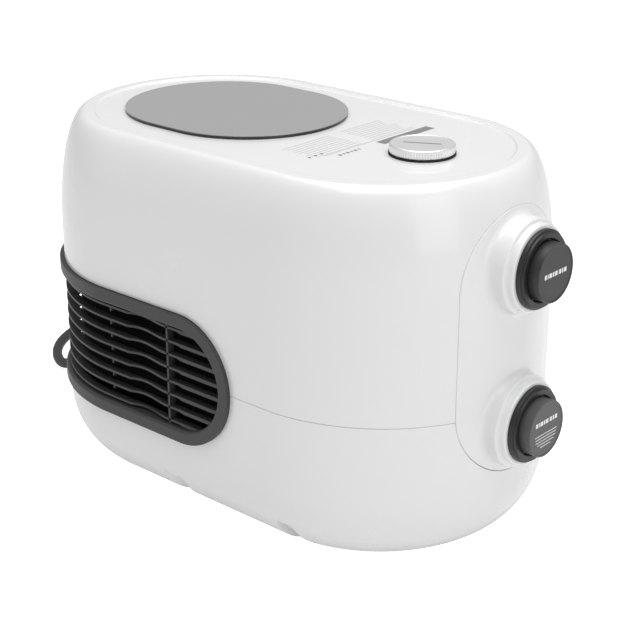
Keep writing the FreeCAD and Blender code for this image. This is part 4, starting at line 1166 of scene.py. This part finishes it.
def group_sockets(group: bpy.types.NodeTree, inputs: Iterable[tuple[str, str]],
                  outputs: Iterable[tuple[str, str]]) -> None:
    """Adds named inputs and outputs, given as (name, socket type) pairs, to a node group."""
    for direction, sockets in (("INPUT", inputs), ("OUTPUT", outputs)):
        for name, kind in sockets:
            group.interface.new_socket(name=name, in_out=direction, socket_type=kind)


def surface_group() -> bpy.types.NodeTree:
    """Builds the group that every finish uses: colour drift, fine grain and uneven gloss.

    Broad noise shifts the colour's brightness, fine noise gives the grain's
    height, and both together shift the roughness.
    """
    name = "uneven_surface"
    if name in bpy.data.node_groups:
        return bpy.data.node_groups[name]
    group = bpy.data.node_groups.new(name, "ShaderNodeTree")
    group_sockets(
        group,
        (("Vector", "NodeSocketVector"), ("Color", "NodeSocketColor"), ("Drift", "NodeSocketFloat"),
         ("Drift Scale", "NodeSocketFloat"), ("Grain Scale", "NodeSocketFloat"),
         ("Roughness", "NodeSocketFloat"), ("Gloss Drift", "NodeSocketFloat")),
        (("Color", "NodeSocketColor"), ("Roughness", "NodeSocketFloat"),
         ("Height", "NodeSocketFloat")))
    nodes, links = group.nodes, group.links
    enter, leave = nodes.new("NodeGroupInput"), nodes.new("NodeGroupOutput")
    broad, fine = nodes.new("ShaderNodeTexNoise"), nodes.new("ShaderNodeTexNoise")
    broad.inputs["Detail"].default_value = 4
    fine.inputs["Detail"].default_value = 3
    for noise, scale in ((broad, "Drift Scale"), (fine, "Grain Scale")):
        links.new(enter.outputs["Vector"], noise.inputs["Vector"])
        links.new(enter.outputs[scale], noise.inputs["Scale"])
    centred = math_node(group, "SUBTRACT", broad.outputs["Fac"], 0.5)
    shift = math_node(group, "MULTIPLY_ADD", centred, enter.outputs["Drift"], 1.0)
    tint = nodes.new("ShaderNodeVectorMath")
    tint.operation = "SCALE"
    links.new(enter.outputs["Color"], tint.inputs[0])
    links.new(shift, tint.inputs["Scale"])
    links.new(tint.outputs["Vector"], leave.inputs["Color"])
    grain = math_node(group, "SUBTRACT", fine.outputs["Fac"], 0.5)
    both = math_node(group, "ADD", centred, grain)
    rough = math_node(group, "MULTIPLY_ADD", both,
                      enter.outputs["Gloss Drift"], enter.outputs["Roughness"])
    links.new(rough, leave.inputs["Roughness"])
    links.new(fine.outputs["Fac"], leave.inputs["Height"])
    return group


def math_node(tree: bpy.types.NodeTree, operation: str, *values: bpy.types.NodeSocket | float
              ) -> bpy.types.NodeSocket:
    """Adds a maths node and returns its output.

    Args:
        tree: the node tree or group that it goes in.
        operation: the node's operation.
        values: a number or a socket for each input.

    Returns:
        The node's output socket.
    """
    node = tree.nodes.new("ShaderNodeMath")
    node.operation = operation
    for socket, value in zip(node.inputs, values):
        if isinstance(value, bpy.types.NodeSocket):
            tree.links.new(value, socket)
        else:
            socket.default_value = value
    return node.outputs[0]


@dataclass(frozen=True)
class Finish:
    """One finish: its colour, gloss and how both vary over the surface."""

    name: str
    color: tuple[float, float, float]
    roughness: float
    metallic: float = 0.0
    pattern: Pattern = Pattern.MOULDED
    drift: float = 0.06
    drift_scale: float = 9.0
    grain_scale: float = 1400.0
    grain_depth: float = 0.03
    gloss_drift: float = 0.06
    coat: float = 0.0
    coat_roughness: float = 0.08
    specular: float = 0.5
    centre: Point = (0.0, 0.0, 0.0)

    def material(self) -> bpy.types.Material:
        """Makes the material, or returns it if it is already made."""
        name = f"{self.name}_finish"
        if name in bpy.data.materials:
            return bpy.data.materials[name]
        material = bpy.data.materials.new(name)
        material.use_nodes = True
        tree = material.node_tree
        shader = tree.nodes["Principled BSDF"]
        place = tree.nodes.new("ShaderNodeTexCoord")
        mapping = tree.nodes.new("ShaderNodeMapping")
        mapping.inputs["Location"].default_value = [-c for c in self.centre]
        if self.pattern is Pattern.BRUSHED:
            mapping.inputs["Scale"].default_value = (1.0, 1.0, 0.04)
        tree.links.new(place.outputs["Object"], mapping.inputs["Vector"])
        uneven = tree.nodes.new("ShaderNodeGroup")
        uneven.node_tree = surface_group()
        tree.links.new(mapping.outputs["Vector"], uneven.inputs["Vector"])
        uneven.inputs["Color"].default_value = (*self.color, 1.0)
        for socket, value in (("Drift", self.drift), ("Drift Scale", self.drift_scale),
                              ("Grain Scale", self.grain_scale), ("Roughness", self.roughness),
                              ("Gloss Drift", self.gloss_drift)):
            uneven.inputs[socket].default_value = value
        height = uneven.outputs["Height"]
        if self.pattern is Pattern.RINGS:
            height = self.rings(tree, mapping.outputs["Vector"], height)
        bump = tree.nodes.new("ShaderNodeBump")
        bump.inputs["Strength"].default_value = 0.6
        bump.inputs["Distance"].default_value = self.grain_depth * MM
        tree.links.new(height, bump.inputs["Height"])
        tree.links.new(bump.outputs["Normal"], shader.inputs["Normal"])
        tree.links.new(uneven.outputs["Color"], shader.inputs["Base Color"])
        tree.links.new(uneven.outputs["Roughness"], shader.inputs["Roughness"])
        shader.inputs["Metallic"].default_value = self.metallic
        shader.inputs["Specular IOR Level"].default_value = self.specular
        shader.inputs["Coat Weight"].default_value = self.coat
        shader.inputs["Coat Roughness"].default_value = self.coat_roughness
        return material

    def rings(self, tree: bpy.types.NodeTree, vector: bpy.types.NodeSocket,
              height: bpy.types.NodeSocket) -> bpy.types.NodeSocket:
        """Adds fine turning marks round the finish's centre to the grain's height."""
        wave = tree.nodes.new("ShaderNodeTexWave")
        wave.wave_type = "RINGS"
        wave.rings_direction = "Z"
        wave.inputs["Scale"].default_value = 700.0
        wave.inputs["Distortion"].default_value = 1.2
        tree.links.new(vector, wave.inputs["Vector"])
        return math_node(tree, "ADD", wave.outputs["Fac"], height)


def grey(level: float) -> tuple[float, float, float]:
    """A neutral grey."""
    return (level, level, level)


CAP_CENTRE = (CAP_X, 0.0, 0.0)

FINISHES = {finish.name: finish for finish in (
    Finish("white_shell", grey(0.80), 0.26, drift=0.02, grain_depth=0.006, gloss_drift=0.05,
           coat=0.6, coat_roughness=0.05),
    Finish("dark_trim", grey(0.048), 0.46, drift=0.12, grain_scale=2200, grain_depth=0.05,
           gloss_drift=0.12, specular=0.42),
    Finish("black_plastic", grey(0.012), 0.40, drift=0.15, grain_scale=2200, grain_depth=0.04,
           gloss_drift=0.10),
    Finish("port_plug", grey(0.045), 0.38, drift=0.10, grain_scale=2400, grain_depth=0.03,
           gloss_drift=0.10),
    Finish("cap_metal", grey(0.86), 0.36, metallic=0.75, pattern=Pattern.RINGS, drift=0.05,
           grain_scale=1800, grain_depth=0.02, gloss_drift=0.12, centre=CAP_CENTRE),
    Finish("smoked_glass", grey(0.31), 0.05, drift=0.03, grain_scale=60, grain_depth=0.001,
           gloss_drift=0.01, coat=1.0, coat_roughness=0.02),
    Finish("black_rubber", grey(0.015), 0.75, drift=0.2, grain_scale=1600, grain_depth=0.08,
           gloss_drift=0.12, specular=0.3),
    Finish("cord_rubber", grey(0.035), 0.55, drift=0.2, drift_scale=40, grain_scale=1500,
           grain_depth=0.06, gloss_drift=0.15, specular=0.35),
    Finish("zinc_steel", (0.50, 0.51, 0.53), 0.38, metallic=1.0, pattern=Pattern.BRUSHED,
           drift=0.2, drift_scale=60, grain_scale=600, gloss_drift=0.25),
    Finish("copper", (0.72, 0.36, 0.22), 0.32, metallic=1.0, drift=0.35, drift_scale=50,
           grain_scale=700, gloss_drift=0.3),
    # near-black fins: painted shade for the dark inside of the casing seen through the slats, not
    # the fins' own aluminium colour
    Finish("fin_aluminium", grey(0.05), 0.5, metallic=0.4, pattern=Pattern.BRUSHED, drift=0.25,
           drift_scale=30, grain_scale=900, grain_depth=0.08, gloss_drift=0.2),
    Finish("motor_black", grey(0.02), 0.42, drift=0.25, drift_scale=25, grain_scale=900,
           grain_depth=0.06, gloss_drift=0.2),
    Finish("grey_plastic", grey(0.22), 0.5, drift=0.1, grain_scale=1800, grain_depth=0.05,
           gloss_drift=0.12),
    Finish("board_green", (0.02, 0.13, 0.05), 0.35, drift=0.4, drift_scale=180, grain_scale=900,
           grain_depth=0.05, gloss_drift=0.2),
    Finish("insulated_steel", (0.10, 0.10, 0.105), 0.6, drift=0.3, drift_scale=30, grain_scale=500,
           grain_depth=0.15, gloss_drift=0.2),
    # painted shade: a near-black, barely reflecting finish for the screen that stands in for the
    # dark inside of the casing
    Finish("painted_shade_black", grey(0.004), 0.95, drift=0.4, grain_scale=3000, grain_depth=0.1,
           gloss_drift=0.05, specular=0.05),
    Finish("collar_black", grey(0.014), 0.34, drift=0.15, grain_scale=2600, grain_depth=0.03,
           gloss_drift=0.10),
    Finish("upper_plug", grey(0.030), 0.40, drift=0.10, grain_scale=2400, grain_depth=0.03,
           gloss_drift=0.10),
    Finish("lower_plug", grey(0.085), 0.42, drift=0.10, grain_scale=2400, grain_depth=0.03,
           gloss_drift=0.10),
    Finish("carrier_dark", grey(0.02), 0.3, drift=0.1, grain_depth=0.02),
    Finish("print_white", grey(0.85), 0.5, drift=0.05, grain_depth=0.01),
    Finish("print_pale", grey(0.40), 0.5, drift=0.10, grain_depth=0.01),
    Finish("print_mid", grey(0.20), 0.5, drift=0.10, grain_depth=0.01),
    Finish("print_dark", grey(0.05), 0.5, drift=0.10, grain_depth=0.01),
)}


def dress(thing: bpy.types.Object, finish: str) -> None:
    """Gives all of an object one finish."""
    material = FINISHES[finish].material()
    if not thing.material_slots:
        thing.data.materials.append(material)
    for place in thing.material_slots:
        place.material = material


# The studio


@dataclass
class Studio:
    """The floor, the light and the camera."""

    lens: float = 89.76
    sensor: float = 36.0
    camera_at: Point = (0.8344, -0.9343, 0.6506)
    tilt: float = 0.3795
    heading: float = 0.726
    floor_half: float = 40.0
    world_light: float = 0.45
    world_seen: float = 1.02
    floor_light: float = 0.21
    floor_seen: float = 0.6

    def camera(self) -> None:
        """The camera, level from side to side."""
        data = bpy.data.cameras.new("camera")
        data.lens = self.lens
        data.sensor_width = self.sensor
        data.clip_end = 200.0
        thing = bpy.data.objects.new("camera", data)
        thing.location = self.camera_at
        thing.rotation_euler = (RIGHT_ANGLE - self.tilt, 0.0, self.heading)
        bpy.context.scene.collection.objects.link(thing)
        bpy.context.scene.camera = thing

    def floor(self) -> None:
        """A plain pale floor that runs far behind the object, brighter seen than as a light."""
        half = self.floor_half
        x, y = np.meshgrid(np.linspace(-half, half, 5), np.linspace(-half, half, 5))
        thing = Surface().add(as_points(x, y, 0 * x)).piece("floor")
        material = bpy.data.materials.new("floor")
        material.use_nodes = True
        shader = material.node_tree.nodes["Principled BSDF"]
        shader.inputs["Base Color"].default_value = (0.74, 0.74, 0.74, 1)
        shader.inputs["Roughness"].default_value = 0.9
        shader.inputs["Specular IOR Level"].default_value = 0.1
        shader.inputs["Emission Color"].default_value = (1, 1, 1, 1)
        seen = material.node_tree.nodes.new("ShaderNodeLightPath").outputs["Is Camera Ray"]
        glow = math_node(material.node_tree, "MULTIPLY_ADD", seen, self.floor_seen,
                         self.floor_light)
        material.node_tree.links.new(glow, shader.inputs["Emission Strength"])
        thing.data.materials.append(material)

    def world(self) -> None:
        """White all round: full white to the camera, weaker as a light."""
        world = bpy.data.worlds.new("studio")
        world.use_nodes = True
        tree = world.node_tree
        background = tree.nodes["Background"]
        background.inputs["Color"].default_value = (1, 1, 1, 1)
        seen = tree.nodes.new("ShaderNodeLightPath").outputs["Is Camera Ray"]
        extra = self.world_seen - self.world_light
        strength = math_node(tree, "MULTIPLY_ADD", seen, extra, self.world_light)
        tree.links.new(strength, background.inputs["Strength"])
        bpy.context.scene.world = world

    def lamp(self, name: str, at: Point, towards: Point, size: tuple[float, float],
             power: float) -> None:
        """A soft rectangular lamp.

        Args:
            name: name of the lamp.
            at: its middle.
            towards: the point that it faces.
            size: its width and height.
            power: its power in watts.
        """
        data = bpy.data.lights.new(name, "AREA")
        data.shape = "RECTANGLE"
        data.size, data.size_y = size
        data.energy = power
        thing = bpy.data.objects.new(name, data)
        thing.location = at
        run = np.array(towards) - np.array(at)
        thing.rotation_euler = (math.atan2(math.hypot(run[0], run[1]), -run[2]), 0.0,
                                math.atan2(run[1], run[0]) - RIGHT_ANGLE)
        bpy.context.scene.collection.objects.link(thing)

    def light(self) -> None:
        """A large lamp overhead, one to the right of the camera and one low on the left."""
        middle = (0.0, 0.0, 0.16)
        self.lamp("overhead", (0.1, 0.1, 2.2), middle, (2.6, 2.2), 44.0)
        self.lamp("right", (2.1, -0.5, 1.0), middle, (1.2, 1.8), 8.0)
        self.lamp("left", (-1.8, -1.6, 0.9), middle, (1.4, 1.6), 1.5)

    def build(self) -> None:
        """Builds the whole studio."""
        self.camera()
        self.floor()
        self.world()
        self.light()
        bpy.context.scene.view_settings.view_transform = "Standard"


# Putting it together


class Body(Enum):
    """The bodies of the frame."""

    CASING = "casing"
    CAP = "cap"
    OUTLET = "outlet_stopper"
    INLET = "inlet_stopper"


def add_piece(thing: bpy.types.Object, body: Body, slot: str, *nodes: str,
              finish: str | None = None) -> None:
    """Dresses a piece, lets it ride on a body and hides the frame's nodes that it stands for.

    Args:
        thing: the finished piece.
        body: the body that it moves with.
        slot: the record's material slot.
        nodes: the frame's nodes that it replaces.
        finish: its finish, where that isn't the slot's own.
    """
    dress(thing, finish or slot)
    if nodes:
        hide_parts(*nodes)
    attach(thing, body.value)
    log.info("%s rides on %s", thing.name, body.value)


def build_casing(form: Form) -> None:
    """The two shells and the port panel."""
    casing = Casing(form)
    heights = [centre_height("outlet_collar"), centre_height("inlet_collar")]
    add_piece(casing.upper_shell(), Body.CASING, "white_shell", "upper_shell")
    add_piece(casing.lower_shell(), Body.CASING, "white_shell", "lower_shell")
    add_piece(casing.port_panel(heights), Body.CASING, "white_shell", "port_panel")


def centre_height(node: str) -> float:
    """Height of the middle of a node of the frame."""
    low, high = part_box(node)
    return (low.z + high.z) / 2


def build_grille(form: Form) -> None:
    """The grille, and the near-black screen behind it that paints the shade inside the casing."""
    grille = Grille(form)
    add_piece(grille.frame(), Body.CASING, "dark_trim", "grille_frame")
    add_piece(grille.louvres(), Body.CASING, "dark_trim", "grille_louvres")
    # the screen is painted shade for the dark inside of the casing
    add_piece(grille.screen(), Body.CASING, "black_plastic", finish="painted_shade_black")


def build_ports(form: Form) -> None:
    """Both ports' collars, stoppers and printed bars."""
    for name, body, lines, finish in (("outlet", Body.OUTLET, 0, "upper_plug"),
                                      ("inlet", Body.INLET, 5, "lower_plug")):
        port = WaterPort(name, form, centre_height(f"{name}_collar"), lines)
        add_piece(port.collar(), Body.CASING, "black_plastic", f"{name}_collar",
                  finish="collar_black")
        add_piece(port.stopper(), body, "port_plug", f"{name}_plug", finish=finish)
        add_piece(port.marks(), body, "port_plug", finish="print_white")


def build_deck(form: Form) -> None:
    """The control glass, its carrier, the screw cap and the label."""
    deck = Deck(form)
    add_piece(deck.glass(), Body.CASING, "smoked_glass", "control_glass")
    add_piece(deck.carrier(), Body.CASING, "dark_trim", "control_carrier", finish="carrier_dark")
    add_piece(deck.cap(), Body.CAP, "cap_metal", "filter_cap")
    add_piece(deck.cap_mark(), Body.CAP, "cap_metal", finish="print_dark")
    for thing, finish in zip(deck.label(), ("print_pale", "print_mid", "print_mid")):
        add_piece(thing, Body.CASING, "white_shell", finish=finish)


def build_lead() -> None:
    """The mains lead with its strain relief, coil, tie and plug."""
    lead = MainsLead()
    plug, tie = lead.plug(), lead.tie()
    add_piece(lead.gland(), Body.CASING, "black_plastic", "cord_gland")
    add_piece(plug, Body.CASING, "cord_rubber", "power_plug")
    add_piece(tie, Body.CASING, "black_plastic", "cord_tie")
    cord = lead.cord()
    add_piece(cord, Body.CASING, "cord_rubber", "power_cord", "cord_coil", "cord_tail")


def dress_frame(frame: dict) -> None:
    """Gives every node of the frame the finish of its material slot."""
    slots = {entry["node"]: entry["material_slot"] for entry in frame["record"]["subparts"]}
    for name, thing in frame["nodes"].items():
        dress(thing, slots[name])


def main() -> None:
    """Builds every class in order round the frame."""
    logging.basicConfig(level=logging.INFO, format="%(name)s: %(message)s")
    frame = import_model()
    form = Form.from_frame()
    Studio().build()
    build_lead()
    dress_frame(frame)
    build_casing(form)
    build_grille(form)
    build_ports(form)
    build_deck(form)


if __name__ == "__main__":
    main()
